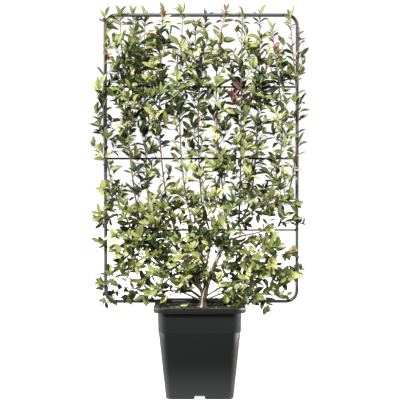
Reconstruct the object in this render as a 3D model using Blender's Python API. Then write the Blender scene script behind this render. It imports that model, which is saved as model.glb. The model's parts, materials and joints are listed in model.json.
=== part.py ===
"""A photinia trained flat against an upright tube frame, in its square nursery pot.

Metres, +Z up. The origin is the middle of the pot's flat underside. The tube frame
stands in the plane Y = 0, on the pot's left and right rims. The plant's limbs run just
in front of that plane, towards -Y, or just behind it. Each limb and shoot is a curve
set by where it leaves its parent, where it ends, and how it leans at both ends.
"""

import math
import random
from collections import namedtuple

import bmesh
import bpy
import numpy as np
from mathutils import Matrix, Vector
from mathutils.bvhtree import BVHTree

# The gap left between two pieces that touch
GAP = 0.0003

# Edges that turn less than these angles, in degrees, are shaded smooth
POT_SMOOTH = 35
TUBE_SMOOTH = 50
LIMB_SMOOTH = 60

# Edges shorter than this are dropped from a joined mesh
SPECK = 1e-7

# Pot: half widths of its square outline, and heights
POT_HEIGHT = 0.370
POT_WALL = 0.003
POT_FLOOR = 0.004
POT_BASE_HALF = 0.1355
POT_BODY_HALF = 0.1640
POT_COLLAR_LOW_HALF = 0.1656
POT_COLLAR_HIGH_HALF = 0.1672
POT_LIP_HALF = 0.1845
POT_COLLAR_LOW = 0.270
POT_LIP_HEIGHT = 0.021
POT_LIP_ROUND = 0.0025
POT_BASE_CORNER = 0.028
POT_CORNER_GROWTH = 0.40
POT_CORNER_STEPS = 5

# The drain notch in the foot of each side of the pot
NOTCH_LOW_WIDTH = 0.051
NOTCH_HIGH_WIDTH = 0.040
NOTCH_HEIGHT = 0.014
NOTCH_DEPTH = 0.066
NOTCH_OUT = 0.010

# Soil
SOIL_EDGE = 0.3505
SOIL_TOP = 0.3560
SOIL_SHOULDER = 0.75
SOIL_FLAT = 0.42

# Tube frame, by its centre lines
TUBE_RADIUS = 0.007
TUBE_SIDES = 12
FRAME_LEFT = -0.386
FRAME_RIGHT = 0.400
FRAME_TOP = 1.550
FRAME_BOTTOM = POT_HEIGHT + TUBE_RADIUS + GAP
FRAME_BEND = 0.045
FRAME_BEND_STEPS = 5
FRAME_BEND_TAIL = 0.008
FRAME_BAYS = 4
ROD_RADIUS = 0.003
ROD_SIDES = 8

# Trunk
TRUNK_FOOT = (0.014, -0.028)
TRUNK_TOP = (0.017, -0.026)
TRUNK_HEIGHT = 0.046
TRUNK_RADIUS = 0.0140
TRUNK_TIP_RADIUS = 0.0125
TRUNK_FLARE = 0.0050
TRUNK_FLARE_RATE = 5.0
TRUNK_SIDES = 10
TRUNK_STEPS = 6

# Where limbs run: in front of the rods or behind them
FRONT = -0.016
BACK = 0.015
BOUGH_SIDES = 6
GROWN_BY = 1.4
BOUGH_STEP = 0.050

# Shoots, twigs and leaves of the foliage
SHOOT_SIDES = 3
SHOOT_STEP = 0.075
SHOOT_RADII = (0.0034, 0.0022)
TWIG_RADII = (0.0020, 0.0015)
TWIG_LENGTHS = (0.034, 0.080)
TWIG_LIFT = (35.0, 75.0)
TWIG_RISE = 0.35
NODE_SPACING = 0.024
NODE_JITTER = 0.006
LEAVES_PER_METRE = 37
TWIG_SHARE = 0.52
TRIES = 12
GOLDEN_TURN = math.radians(137.5)
FLATTEN = 0.60
LEAF_LENGTHS = (0.068, 0.096)
LEAF_RATIO = 0.46
LEAF_WIDEST = 0.55
LEAF_RIB = 0.34
LEAF_FOLD = 0.10
LEAF_DROOP = 0.10
LEAF_THICK = 0.020
LEAF_LIFT = (38.0, 72.0)
LEAF_ROLL = 30.0
LEAF_OUTWARD = 0.9
LEAF_FLIP = 0.3
SWING = 1.0
TIP_LEAVES = 4
TWIG_LEAVES = 3
TIP_INSET = 0.004

# The room that foliage keeps: to hard parts, to the next mass, and its outer limits
CLEAR_HARD = 0.0020
CLEAR_MASS = 0.005
SWAY = 0.022
SWAY_PITCH = 0.17
FRONT_LIMIT = -0.120
BACK_LIMIT = 0.105
LEFT_LIMIT = -0.452
RIGHT_LIMIT = 0.448
LOW_LIMIT = 0.320
TOP_LIMIT = 1.608
SEED = 41

Bough = namedtuple("Bough", "name parent along tip lean lane radii")
Shoot = namedtuple("Shoot", "along tip lean")
Foliage = namedtuple("Foliage", "name bough lane shoots")
Line = namedtuple("Line", "points radii sides")

# Leans are in degrees from upright, positive towards +X, at the foot and at the tip.
BOUGHS = (
    Bough("bough_right_leader", "trunk", 0.80, (0.123, 0.665), (12, 24), FRONT, (0.0100, 0.0080)),
    Bough("bough_left_leader", "trunk", 0.85, (-0.127, 0.760), (-17, -14), FRONT, (0.0072, 0.0042)),
    Bough("bough_middle", "trunk", 0.95, (0.050, 0.636), (2, 14), FRONT, (0.0056, 0.0046)),
    Bough("bough_low_left", "trunk", 0.70, (-0.297, 0.710), (-56, -28), FRONT, (0.0056, 0.0036)),
    Bough("bough_outer_left", "bough_left_leader", 0.10, (-0.252, 0.740), (-50, -12), FRONT,
          (0.0060, 0.0040)),
    Bough("bough_left_fork", "bough_outer_left", 0.60, (-0.211, 0.780), (-16, -3), BACK, (0.0042, 0.0036)),
    Bough("bough_inner_left", "bough_middle", 0.60, (-0.035, 0.710), (-38, -14), FRONT, (0.0040, 0.0036)),
    Bough("bough_centre", "bough_middle", 1.00, (0.007, 0.800), (-14, -5), BACK, (0.0045, 0.0038)),
    Bough("bough_upright", "bough_right_leader", 1.00, (0.098, 0.810), (-20, 0), FRONT, (0.0062, 0.0042)),
    Bough("bough_right_arm", "bough_right_leader", 1.00, (0.178, 0.720), (40, 46), FRONT, (0.0068, 0.0056)),
    Bough("bough_arm_inner", "bough_right_arm", 0.72, (0.164, 0.800), (-4, 0), FRONT, (0.0044, 0.0036)),
    Bough("bough_arm_middle", "bough_right_arm", 1.00, (0.215, 0.820), (22, 8), BACK, (0.0044, 0.0036)),
    Bough("bough_arm_outer", "bough_right_arm", 1.00, (0.293, 0.835), (60, 34), FRONT, (0.0048, 0.0036)),
    Bough("bough_right_edge", "bough_arm_outer", 0.40, (0.365, 0.820), (72, 38), FRONT, (0.0038, 0.0034)),
    Bough("bough_right_side", "bough_right_leader", 0.84, (0.218, 0.656), (66, 80), FRONT, (0.0038, 0.0034)),
    Bough("bough_right_low", "bough_right_leader", 0.45, (0.148, 0.540), (66, 80), FRONT, (0.0036, 0.0034)),
    Bough("bough_foot_right", "trunk", 0.85, (0.143, 0.460), (58, 74), FRONT, (0.0038, 0.0034)),
    Bough("bough_foot_right_low", "trunk", 0.62, (0.118, 0.414), (74, 90), FRONT, (0.0036, 0.0034)),
    Bough("bough_foot_left", "trunk", 0.55, (-0.107, 0.422), (-74, -90), FRONT, (0.0036, 0.0034)),
    Bough("bough_left_side", "bough_low_left", 0.42, (-0.207, 0.550), (-72, -64), FRONT, (0.0036, 0.0034)),
    Bough("bough_inner_low", "bough_left_leader", 0.34, (-0.095, 0.592), (-52, -42), FRONT, (0.0036, 0.0034)),
    Bough("bough_inner_core", "bough_middle", 0.34, (-0.019, 0.555), (-38, -10), BACK, (0.0036, 0.0034)),
)

# The first shoot of a mass goes on from its bough's tip, and the rest fork from the first.
FOLIAGE = (
    Foliage("foliage_left_edge", "bough_low_left", FRONT, (
        Shoot(0.00, (-0.384, 1.540), (-30, 0)), Shoot(0.04, (-0.412, 0.720), (-84, -60)))),
    Foliage("foliage_left", "bough_outer_left", FRONT, (
        Shoot(0.00, (-0.325, 1.545), (-10, -3)),)),
    Foliage("foliage_left_inner", "bough_left_fork", BACK, (
        Shoot(0.00, (-0.222, 1.540), (-3, 4)), Shoot(0.45, (-0.275, 1.555), (-12, -4)))),
    Foliage("foliage_centre_left", "bough_left_leader", FRONT, (
        Shoot(0.00, (-0.150, 1.550), (-12, 3)),)),
    Foliage("foliage_inner_left", "bough_inner_left", FRONT, (
        Shoot(0.00, (-0.069, 1.555), (-14, 2)),)),
    Foliage("foliage_centre", "bough_centre", BACK, (
        Shoot(0.00, (0.025, 1.540), (-5, 8)), Shoot(0.62, (-0.019, 1.510), (-14, -4)))),
    Foliage("foliage_upright", "bough_upright", FRONT, (
        Shoot(0.00, (0.105, 1.565), (-7, 14)),)),
    Foliage("foliage_arm_inner", "bough_arm_inner", FRONT, (
        Shoot(0.00, (0.175, 1.550), (2, 2)),)),
    Foliage("foliage_arm_middle", "bough_arm_middle", BACK, (
        Shoot(0.00, (0.249, 1.550), (8, 2)),)),
    Foliage("foliage_arm_outer", "bough_arm_outer", FRONT, (
        Shoot(0.00, (0.295, 1.490), (24, -6)),)),
    Foliage("foliage_right_edge", "bough_right_edge", FRONT, (
        Shoot(0.00, (0.369, 1.540), (16, -4)), Shoot(0.60, (0.408, 1.490), (12, 4)))),
    Foliage("foliage_right_side", "bough_right_side", FRONT, (
        Shoot(0.00, (0.383, 0.710), (76, 64)),)),
    Foliage("foliage_right_low", "bough_right_low", FRONT, (
        Shoot(0.00, (0.378, 0.580), (84, 76)),)),
    Foliage("foliage_foot_right", "bough_foot_right", FRONT, (
        Shoot(0.00, (0.378, 0.494), (80, 80)),)),
    Foliage("foliage_foot_right_low", "bough_foot_right_low", FRONT, (
        Shoot(0.00, (0.363, 0.404), (92, 90)),)),
    Foliage("foliage_foot_left", "bough_foot_left", FRONT, (
        Shoot(0.00, (-0.392, 0.452), (-92, -78)),)),
    Foliage("foliage_left_side", "bough_left_side", FRONT, (
        Shoot(0.00, (-0.392, 0.610), (-66, -70)),)),
    Foliage("foliage_inner_low", "bough_inner_low", FRONT, (
        Shoot(0.00, (-0.165, 0.760), (-48, -6)),)),
    Foliage("foliage_inner_core", "bough_inner_core", BACK, (
        Shoot(0.00, (-0.041, 0.675), (-12, -10)),)),
)


# Making and joining objects

def clear_scene():
    for obj in list(bpy.data.objects):
        bpy.data.objects.remove(obj, do_unlink=True)


def material(name, color, roughness, metallic=0.0):
    finish = bpy.data.materials.new(name)
    finish.use_nodes = True
    shader = finish.node_tree.nodes["Principled BSDF"]
    shader.inputs["Base Color"].default_value = (*color, 1.0)
    shader.inputs["Roughness"].default_value = roughness
    shader.inputs["Metallic"].default_value = metallic
    finish.diffuse_color = (*color, 1.0)
    return finish


def object_from(bm, name, finish=None, smooth_below=None):
    """A named object of this bmesh, whose faces point outwards."""
    bmesh.ops.recalc_face_normals(bm, faces=bm.faces)
    mesh = bpy.data.meshes.new(name)
    bm.to_mesh(mesh)
    bm.free()
    obj = bpy.data.objects.new(name, mesh)
    bpy.context.scene.collection.objects.link(obj)
    if finish is not None:
        mesh.materials.append(finish)
    if smooth_below is not None:
        mesh.shade_smooth()
        mesh.set_sharp_from_angle(angle=math.radians(smooth_below))
    return obj


def apply_boolean(target, tools, operation, solver="EXACT"):
    """Joins or cuts target with all the tools at once, applies that, and removes the tools."""
    group = bpy.data.collections.new("tools")
    bpy.context.scene.collection.children.link(group)
    for tool in tools:
        bpy.context.scene.collection.objects.unlink(tool)
        group.objects.link(tool)
    modifier = target.modifiers.new("boolean", "BOOLEAN")
    modifier.operation = operation
    modifier.solver = solver
    modifier.operand_type = "COLLECTION"
    modifier.collection = group
    graph = bpy.context.evaluated_depsgraph_get()
    result = bpy.data.meshes.new_from_object(target.evaluated_get(graph))
    target.modifiers.remove(modifier)
    old = target.data
    target.data = result
    bpy.data.meshes.remove(old)
    result.name = target.name
    for tool in tools:
        bpy.data.objects.remove(tool, do_unlink=True)
    bpy.data.collections.remove(group)


def keep_largest_body(obj):
    """Drops the loose scraps that a Boolean leaves. True if what stays is closed."""
    bm = bmesh.new()
    bm.from_mesh(obj.data)
    bmesh.ops.triangulate(bm, faces=bm.faces)
    bmesh.ops.dissolve_degenerate(bm, edges=bm.edges, dist=SPECK)
    bodies = []
    left = set(bm.verts)
    while left:
        body = {left.pop()}
        edge_of_body = list(body)
        while edge_of_body:
            vert = edge_of_body.pop()
            for edge in vert.link_edges:
                other = edge.other_vert(vert)
                if other in left:
                    left.discard(other)
                    body.add(other)
                    edge_of_body.append(other)
        bodies.append(body)
    largest = max(bodies, key=len)
    scraps = [vert for vert in bm.verts if vert not in largest]
    bmesh.ops.delete(bm, geom=scraps, context="VERTS")
    closed = all(edge.is_manifold for edge in bm.edges)
    bm.to_mesh(obj.data)
    bm.free()
    return closed


# Tubes and curves

def add_tube(bm, points, radii, sides, side=None):
    """A closed tube through the points, flat at both ends, with a corner towards side."""
    rings = []
    for i, point in enumerate(points):
        ahead = points[min(i + 1, len(points) - 1)] - points[max(i - 1, 0)]
        forward = ahead.normalized()
        side = forward.orthogonal() if side is None else side
        side = (side - forward * side.dot(forward)).normalized()
        up = forward.cross(side)
        ring = []
        for k in range(sides):
            turn = math.tau * k / sides
            ring.append(bm.verts.new(point + (side * math.cos(turn) + up * math.sin(turn)) * radii[i]))
        rings.append(ring)
    skin_rings(bm, rings)


def skin_rings(bm, rings):
    """Quads from each ring of vertices to the next, and a cap on the first and the last."""
    for low, high in zip(rings, rings[1:]):
        for k in range(len(low)):
            after = (k + 1) % len(low)
            bm.faces.new((low[k], low[after], high[after], high[k]))
    bm.faces.new(list(reversed(rings[0])))
    bm.faces.new(rings[-1])


def lean_vector(degrees):
    lean = math.radians(degrees)
    return Vector((math.sin(lean), 0.0, math.cos(lean)))


def curve_points(foot, tip, lean, step):
    """Points along the curve from foot to tip that leaves and ends at these leans."""
    reach = (tip - foot).length
    count = max(3, round(reach / step) + 1)
    start, end = (lean_vector(angle) * reach for angle in lean)
    points = []
    for i in range(count):
        t = i / (count - 1)
        flat = (
            foot * (2 * t**3 - 3 * t**2 + 1)
            + start * (t**3 - 2 * t**2 + t)
            + tip * (3 * t**2 - 2 * t**3)
            + end * (t**3 - t**2)
        )
        points.append(flat)
    return points


def along_path(points, share):
    """The point this share of the way along a path, and the direction there."""
    lengths = [(b - a).length for a, b in zip(points, points[1:])]
    target = share * sum(lengths)
    for a, b, length in zip(points, points[1:], lengths):
        if target <= length:
            return a.lerp(b, target / length), (b - a).normalized()
        target -= length
    return points[-1].copy(), (points[-1] - points[-2]).normalized()


def tapered(radii, count):
    return [radii[0] + (radii[1] - radii[0]) * i / (count - 1) for i in range(count)]


# Pot and soil

def pot_corner(half):
    return POT_BASE_CORNER + POT_CORNER_GROWTH * (half - POT_BASE_HALF)


def rounded_square(bm, half, z, corner):
    ring = []
    for quarter in range(4):
        middle = math.tau * (quarter + 0.5) / 4
        centre = Vector((math.copysign(half - corner, math.cos(middle)),
                         math.copysign(half - corner, math.sin(middle)), z))
        for step in range(POT_CORNER_STEPS + 1):
            turn = math.tau * quarter / 4 + math.pi / 2 * step / POT_CORNER_STEPS
            ring.append(bm.verts.new(centre + Vector((math.cos(turn), math.sin(turn), 0.0)) * corner))
    return ring


def pot_inner_half(z):
    """Half the width inside the pot's wall at height z."""
    collar = POT_HEIGHT - POT_LIP_HEIGHT
    if z <= POT_COLLAR_LOW:
        share = z / POT_COLLAR_LOW
        return POT_BASE_HALF + (POT_BODY_HALF - POT_BASE_HALF) * share - POT_WALL
    share = min((z - POT_COLLAR_LOW) / (collar - POT_COLLAR_LOW), 1.0)
    return POT_BODY_HALF + (POT_COLLAR_HIGH_HALF - POT_BODY_HALF) * share - POT_WALL


def notch_half(z):
    """Half the width of a drain notch at height z."""
    return (NOTCH_LOW_WIDTH + (NOTCH_HIGH_WIDTH - NOTCH_LOW_WIDTH) * z / NOTCH_HEIGHT) / 2


def notch_prisms(grow, low, inner, outer):
    """One prism for each side's drain notch, grown all round, from inner to outer off the middle."""
    prisms = []
    high = NOTCH_HEIGHT + grow
    for quarter in range(4):
        bm = bmesh.new()
        corners = ((-1, low), (1, low), (1, high), (-1, high))
        outline = [(hand * (notch_half(z) + grow), z) for hand, z in corners]
        rings = [[bm.verts.new((x, -away, z)) for x, z in outline] for away in (inner, outer)]
        skin_rings(bm, rings)
        bmesh.ops.rotate(bm, verts=bm.verts, matrix=Matrix.Rotation(math.pi / 2 * quarter, 3, "Z"))
        prisms.append(object_from(bm, "notch"))
    return prisms


def make_pot(finish):
    lip_low = POT_HEIGHT - POT_LIP_HEIGHT
    profile = (
        (POT_BASE_HALF, 0.0),
        (POT_BODY_HALF, POT_COLLAR_LOW),
        (POT_COLLAR_LOW_HALF, POT_COLLAR_LOW),
        (POT_COLLAR_HIGH_HALF, lip_low),
        (POT_LIP_HALF - POT_LIP_ROUND, lip_low),
        (POT_LIP_HALF, lip_low + POT_LIP_ROUND),
        (POT_LIP_HALF, POT_HEIGHT - POT_LIP_ROUND),
        (POT_LIP_HALF - POT_LIP_ROUND, POT_HEIGHT),
        (POT_COLLAR_HIGH_HALF, POT_HEIGHT),
        (pot_inner_half(lip_low), lip_low),
        (pot_inner_half(POT_COLLAR_LOW), POT_COLLAR_LOW),
        (pot_inner_half(POT_FLOOR), POT_FLOOR),
    )
    bm = bmesh.new()
    rings = [rounded_square(bm, half, z, pot_corner(half)) for half, z in profile]
    skin_rings(bm, rings)
    pot = object_from(bm, "pot", finish, POT_SMOOTH)
    notch_back = POT_BASE_HALF - NOTCH_DEPTH
    pockets = notch_prisms(POT_WALL, POT_FLOOR / 2, notch_back - POT_WALL, POT_BASE_HALF - POT_WALL / 2)
    apply_boolean(pot, pockets, "UNION")
    apply_boolean(pot, notch_prisms(0.0, -NOTCH_HEIGHT, notch_back, POT_BASE_HALF + NOTCH_OUT), "DIFFERENCE")
    return pot


def make_soil(finish):
    bm = bmesh.new()
    edge = pot_inner_half(SOIL_EDGE) - 2 * GAP
    profile = (
        (pot_inner_half(POT_FLOOR) - 2 * GAP, POT_FLOOR + GAP, 1.0),
        (pot_inner_half(POT_COLLAR_LOW) - 2 * GAP, POT_COLLAR_LOW, 1.0),
        (edge, SOIL_EDGE, 1.0),
        (edge * SOIL_SHOULDER, (SOIL_EDGE + 2 * SOIL_TOP) / 3, SOIL_SHOULDER),
        (edge * SOIL_FLAT, SOIL_TOP, SOIL_FLAT),
    )
    rings = [rounded_square(bm, half, z, pot_corner(half / share) * share) for half, z, share in profile]
    skin_rings(bm, rings)
    soil = object_from(bm, "soil", finish, POT_SMOOTH)
    notch_back = POT_BASE_HALF - NOTCH_DEPTH
    wall = POT_WALL + GAP
    room = notch_prisms(wall, -NOTCH_HEIGHT, notch_back - wall, POT_BASE_HALF + NOTCH_OUT)
    apply_boolean(soil, room, "DIFFERENCE")
    return soil


# Tube frame

def make_frame(finish):
    parts = []
    rail_end = FRAME_BEND + FRAME_BEND_TAIL
    post_ends = (FRAME_BOTTOM + rail_end + GAP, FRAME_TOP - rail_end - GAP)
    for name, x in (("frame_left_post", FRAME_LEFT), ("frame_right_post", FRAME_RIGHT)):
        bm = bmesh.new()
        points = [Vector((x, 0.0, z)) for z in post_ends]
        add_tube(bm, points, [TUBE_RADIUS] * 2, TUBE_SIDES, Vector((1, 0, 0)))
        parts.append(object_from(bm, name, finish, TUBE_SMOOTH))
    for name, z, up in (("frame_bottom_rail", FRAME_BOTTOM, 1), ("frame_top_rail", FRAME_TOP, -1)):
        points = []
        for end, x in ((-1, FRAME_LEFT), (1, FRAME_RIGHT)):
            bend = [Vector((x, 0.0, z + up * rail_end))]
            for step in range(FRAME_BEND_STEPS + 1):
                turn = math.pi / 2 * step / FRAME_BEND_STEPS
                bend.append(Vector((x - end * FRAME_BEND * (1 - math.cos(turn)), 0.0,
                                    z + up * FRAME_BEND * (1 - math.sin(turn)))))
            points += bend if end < 0 else bend[::-1]
        bm = bmesh.new()
        add_tube(bm, points, [TUBE_RADIUS] * len(points), TUBE_SIDES, Vector((0, 1, 0)))
        parts.append(object_from(bm, name, finish, TUBE_SMOOTH))
    bay = (FRAME_TOP - FRAME_BOTTOM) / FRAME_BAYS
    reach = TUBE_RADIUS + GAP
    for i, name in enumerate(("frame_rod_low", "frame_rod_middle", "frame_rod_high"), 1):
        bm = bmesh.new()
        z = FRAME_BOTTOM + bay * i
        points = [Vector((FRAME_LEFT + reach, 0.0, z)), Vector((FRAME_RIGHT - reach, 0.0, z))]
        add_tube(bm, points, [ROD_RADIUS] * 2, ROD_SIDES, Vector((0, 1, 0)))
        parts.append(object_from(bm, name, finish, TUBE_SMOOTH))
    return parts


# Trunk and boughs

def trunk_line():
    foot_z = SOIL_TOP + GAP
    points, radii = [], []
    for i in range(TRUNK_STEPS + 1):
        t = i / TRUNK_STEPS
        # The first step is upright, so that the cut at the soil is level.
        lean = max(i - 1, 0) / (TRUNK_STEPS - 1)
        x, y = (a + (b - a) * lean for a, b in zip(TRUNK_FOOT, TRUNK_TOP))
        points.append(Vector((x, y, foot_z + TRUNK_HEIGHT * t)))
        flare = TRUNK_FLARE * math.exp(-TRUNK_FLARE_RATE * t)
        radii.append(TRUNK_RADIUS + (TRUNK_TIP_RADIUS - TRUNK_RADIUS) * t + flare)
    return Line(points, radii, TRUNK_SIDES)


def bough_line(bough, lines):
    foot, _ = along_path(lines[bough.parent].points, bough.along)
    tip = Vector((bough.tip[0], bough.lane, bough.tip[1]))
    points = curve_points(foot, tip, bough.lean, BOUGH_STEP)
    return Line(points, tapered(bough.radii, len(points)), BOUGH_SIDES)


def grown(line):
    """The same limb a little over a gap larger all round, for cutting its neighbours."""
    more = GAP * GROWN_BY
    points = list(line.points)
    points[0] = points[0] - (points[1] - points[0]).normalized() * more
    points[-1] = points[-1] + (points[-1] - points[-2]).normalized() * more
    bm = bmesh.new()
    add_tube(bm, points, [radius + more for radius in line.radii], line.sides)
    return object_from(bm, "cutter")


def make_limbs(finish):
    """The trunk, and each bough with its foot cut to fit against the limbs before it."""
    lines = {"trunk": trunk_line()}
    bm = bmesh.new()
    add_tube(bm, *lines["trunk"])
    limbs = [object_from(bm, "trunk", finish, LIMB_SMOOTH)]
    for bough in BOUGHS:
        line = bough_line(bough, lines)
        bm = bmesh.new()
        add_tube(bm, *line)
        limb = object_from(bm, bough.name, finish, LIMB_SMOOTH)
        near = [other for other in lines.values() if lines_touch(line, other)]
        if near:
            apply_boolean(limb, [grown(other) for other in near], "DIFFERENCE")
            if not keep_largest_body(limb):
                raise RuntimeError(f"{bough.name} isn't closed")
            limb.data.shade_smooth()
            limb.data.set_sharp_from_angle(angle=math.radians(LIMB_SMOOTH))
        lines[bough.name] = line
        limbs.append(limb)
    return limbs, lines


def lines_touch(line, other):
    """Whether two limbs come within their thickness of each other."""
    reach = max(line.radii) + max(other.radii) + 2 * GAP
    ours = Segments([other.points]).distances(np.array(line.points))
    theirs = Segments([line.points]).distances(np.array(other.points))
    return min(ours.min(), theirs.min()) < reach


# Foliage

class Segments:
    """Distances from points to a set of paths, each the nearest of its segments."""

    def __init__(self, paths):
        starts, runs, first = [], [], []
        for path in paths:
            first.append(len(starts))
            starts += [tuple(a) for a in path[:-1]]
            runs += [tuple(b - a) for a, b in zip(path, path[1:])]
        self.starts = np.array(starts)
        self.runs = np.array(runs)
        self.squares = (self.runs**2).sum(1)
        self.first = np.array(first)

    def distances(self, points):
        """One row for each point, with its distance to each path."""
        off = points[:, None, :] - self.starts[None]
        share = np.clip((off * self.runs[None]).sum(2) / self.squares, 0.0, 1.0)
        away = np.linalg.norm(off - share[..., None] * self.runs[None], axis=2)
        return np.minimum.reduceat(away, self.first, axis=1)


class Room:
    """The space that each mass of foliage keeps to, and the hard parts it stays off."""

    def __init__(self, shoots, hard):
        self.names = list(shoots)
        paths, self.owners = [], []
        for name, mass_shoots in shoots.items():
            for points, _ in mass_shoots:
                paths.append(points)
                self.owners.append(self.names.index(name))
        self.owners = np.array(self.owners)
        self.segments = Segments(paths)
        self.hard = hard
        self.signs = np.where(self.owners % 2, 1.0, -1.0)

    def holds(self, name, points):
        """Whether every point is inside the limits and nearer to this mass than to any other."""
        points = np.array([tuple(p) for p in points])
        low = (LEFT_LIMIT, FRONT_LIMIT, LOW_LIMIT)
        high = (RIGHT_LIMIT, BACK_LIMIT, TOP_LIMIT)
        if (points < low).any() or (points > high).any():
            return False
        away = self.segments.distances(points)
        away -= SWAY * self.signs * np.sin(math.tau * points[:, 2:3] / SWAY_PITCH)
        own = self.owners == self.names.index(name)
        return bool((away[:, own].min(1) + CLEAR_MASS < away[:, ~own].min(1)).all())

    def clears(self, piece, corners):
        """Whether a piece stays off the hard parts."""
        if piece.overlap(self.hard):
            return False
        return all(self.hard.find_nearest(corner)[3] > CLEAR_HARD for corner in corners)


def tree_of(bm):
    return BVHTree.FromBMesh(bm)


def hard_tree(objects):
    bm = bmesh.new()
    for obj in objects:
        bm.from_mesh(obj.data)
    tree = tree_of(bm)
    bm.free()
    return tree


def leaf_mesh(root, direction, face, length):
    """An eight-faced leaf: root, tip, both edges, and its rib above and below."""
    across = direction.cross(face)
    half = length * LEAF_RATIO / 2
    middle = root + direction * length * LEAF_WIDEST
    rib = root + direction * length * LEAF_RIB
    tip = root + direction * length - face * length * LEAF_DROOP
    edges = [middle + across * half * hand + face * length * LEAF_FOLD for hand in (1, -1)]
    under = rib - face * length * LEAF_THICK
    corners = [root, edges[0], tip, edges[1], rib, under]
    bm = bmesh.new()
    verts = [bm.verts.new(corner) for corner in corners]
    for k in range(4):
        after = (k + 1) % 4
        bm.faces.new((verts[k], verts[after], verts[4]))
        bm.faces.new((verts[after], verts[k], verts[5]))
    bmesh.ops.recalc_face_normals(bm, faces=bm.faces)
    halfway = [edge.lerp(tip, 0.5) for edge in edges]
    return bm, [*corners[1:4], *halfway, middle, edges[0].lerp(root, 0.5)]


def side_direction(axis, turn, lift):
    """A direction that leaves the axis at this lift, turned about it, and drawn to the frame's plane."""
    side = axis.orthogonal().normalized()
    out = side * math.cos(turn) + axis.cross(side) * math.sin(turn)
    out = Vector((out.x, out.y * FLATTEN, out.z)).normalized()
    angle = math.radians(lift)
    return axis * math.cos(angle) + out * math.sin(angle)


def leaf_face(axis, direction, outward, roll):
    """The upper side of a leaf: along its twig and out from the frame, turned about the leaf by roll."""
    look = axis + Vector((0.0, outward * LEAF_OUTWARD, 0.0))
    face = (look - direction * look.dot(direction)).normalized()
    return Matrix.Rotation(math.radians(roll), 3, direction) @ face


class Mass:
    """One mass of foliage while it grows: its pieces, each with a tree for overlap tests."""

    def __init__(self, name, room, chance):
        self.name = name
        self.room = room
        self.chance = chance
        self.pieces = []
        self.leaves = 0

    def free(self, tree, carrier):
        return not any(tree.overlap(other) for k, (_, other) in enumerate(self.pieces) if k != carrier)

    def add(self, bm):
        self.pieces.append((bm, tree_of(bm)))
        return len(self.pieces) - 1

    def grow_leaf(self, root, axis, turn, carrier):
        """Tries a few leaves at this place, and keeps the first that has room."""
        for attempt in range(TRIES):
            length = self.chance.uniform(*LEAF_LENGTHS)
            lift = self.chance.uniform(*LEAF_LIFT)
            roll = self.chance.uniform(-LEAF_ROLL, LEAF_ROLL)
            swing = turn + attempt * self.chance.uniform(-SWING, SWING)
            direction = side_direction(axis, swing, lift)
            outward = math.copysign(1.0, direction.y + self.chance.uniform(-LEAF_FLIP, LEAF_FLIP))
            face = leaf_face(axis, direction, outward, roll)
            bm, probes = leaf_mesh(root, direction, face, length)
            tree = tree_of(bm)
            if (self.room.holds(self.name, probes) and self.room.clears(tree, probes)
                    and self.free(tree, carrier)):
                self.add(bm)
                self.leaves += 1
                return True
            bm.free()
        return False

    def grow_twig(self, root, axis, turn, carrier):
        """Tries a few side twigs, and puts leaves on the first that has room."""
        for attempt in range(TRIES):
            length = self.chance.uniform(*TWIG_LENGTHS)
            lift = self.chance.uniform(*TWIG_LIFT)
            swing = turn + attempt * self.chance.uniform(-SWING, SWING)
            direction = side_direction(axis, swing, lift)
            direction = (direction + Vector((0.0, 0.0, TWIG_RISE))).normalized()
            points = [root, root + direction * length]
            probes = [root + direction * length / 2, points[1]]
            bm = bmesh.new()
            add_tube(bm, points, TWIG_RADII, SHOOT_SIDES)
            tree = tree_of(bm)
            if (self.room.holds(self.name, probes) and self.room.clears(tree, probes)
                    and self.free(tree, carrier)):
                twig = self.add(bm)
                self.dress_tip(points, twig, TWIG_LEAVES)
                self.grow_leaf(probes[0], direction, turn + math.pi / 2, twig)
                return True
            bm.free()
        return False

    def dress_tip(self, points, carrier, count):
        """A whorl of leaves just inside the end of a shoot or a twig."""
        axis = (points[-1] - points[-2]).normalized()
        first = self.chance.uniform(0.0, math.tau)
        for k in range(count):
            root = points[-1] - axis * TIP_INSET * (k + 1)
            self.grow_leaf(root, axis, first + GOLDEN_TURN * k, carrier)

    def grow_shoot(self, points, radii):
        bm = bmesh.new()
        add_tube(bm, points, radii, SHOOT_SIDES)
        shoot = self.add(bm)
        self.dress_tip(points, shoot, TIP_LEAVES)
        length = sum((b - a).length for a, b in zip(points, points[1:]))
        full = self.leaves + length * LEAVES_PER_METRE
        places = list(range(1, int(length / NODE_SPACING)))
        self.chance.shuffle(places)
        for place in places:
            if self.leaves >= full:
                break
            done = place * NODE_SPACING + self.chance.uniform(-NODE_JITTER, NODE_JITTER)
            root, axis = along_path(points, done / length)
            grow = self.grow_twig if self.chance.random() < TWIG_SHARE else self.grow_leaf
            grow(root, axis, GOLDEN_TURN * place, shoot)

    def join(self, finish, solver="EXACT"):
        stem, *rest = [object_from(bm.copy(), self.name) for bm, _ in self.pieces]
        stem.name = self.name
        if rest:
            apply_boolean(stem, rest, "UNION", solver)
        stem.data.materials.clear()
        stem.data.materials.append(finish)
        return stem, keep_largest_body(stem)


def shoot_lines(mass, lines):
    """The paths and radii of a mass's shoots. The first starts a gap past its bough's tip."""
    points = lines[mass.bough].points
    ahead = (points[-1] - points[-2]).normalized()
    found = []
    for shoot in mass.shoots:
        foot = along_path(found[0][0], shoot.along)[0] if found else points[-1] + ahead * GAP
        tip = Vector((shoot.tip[0], mass.lane, shoot.tip[1]))
        path = curve_points(foot, tip, shoot.lean, SHOOT_STEP)
        if not found:
            # The foot's flat end stays square to the bough's flat end.
            path.insert(1, path[0] + ahead * SHOOT_RADII[0])
        found.append((path, tapered(SHOOT_RADII, len(path))))
    return found


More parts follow.
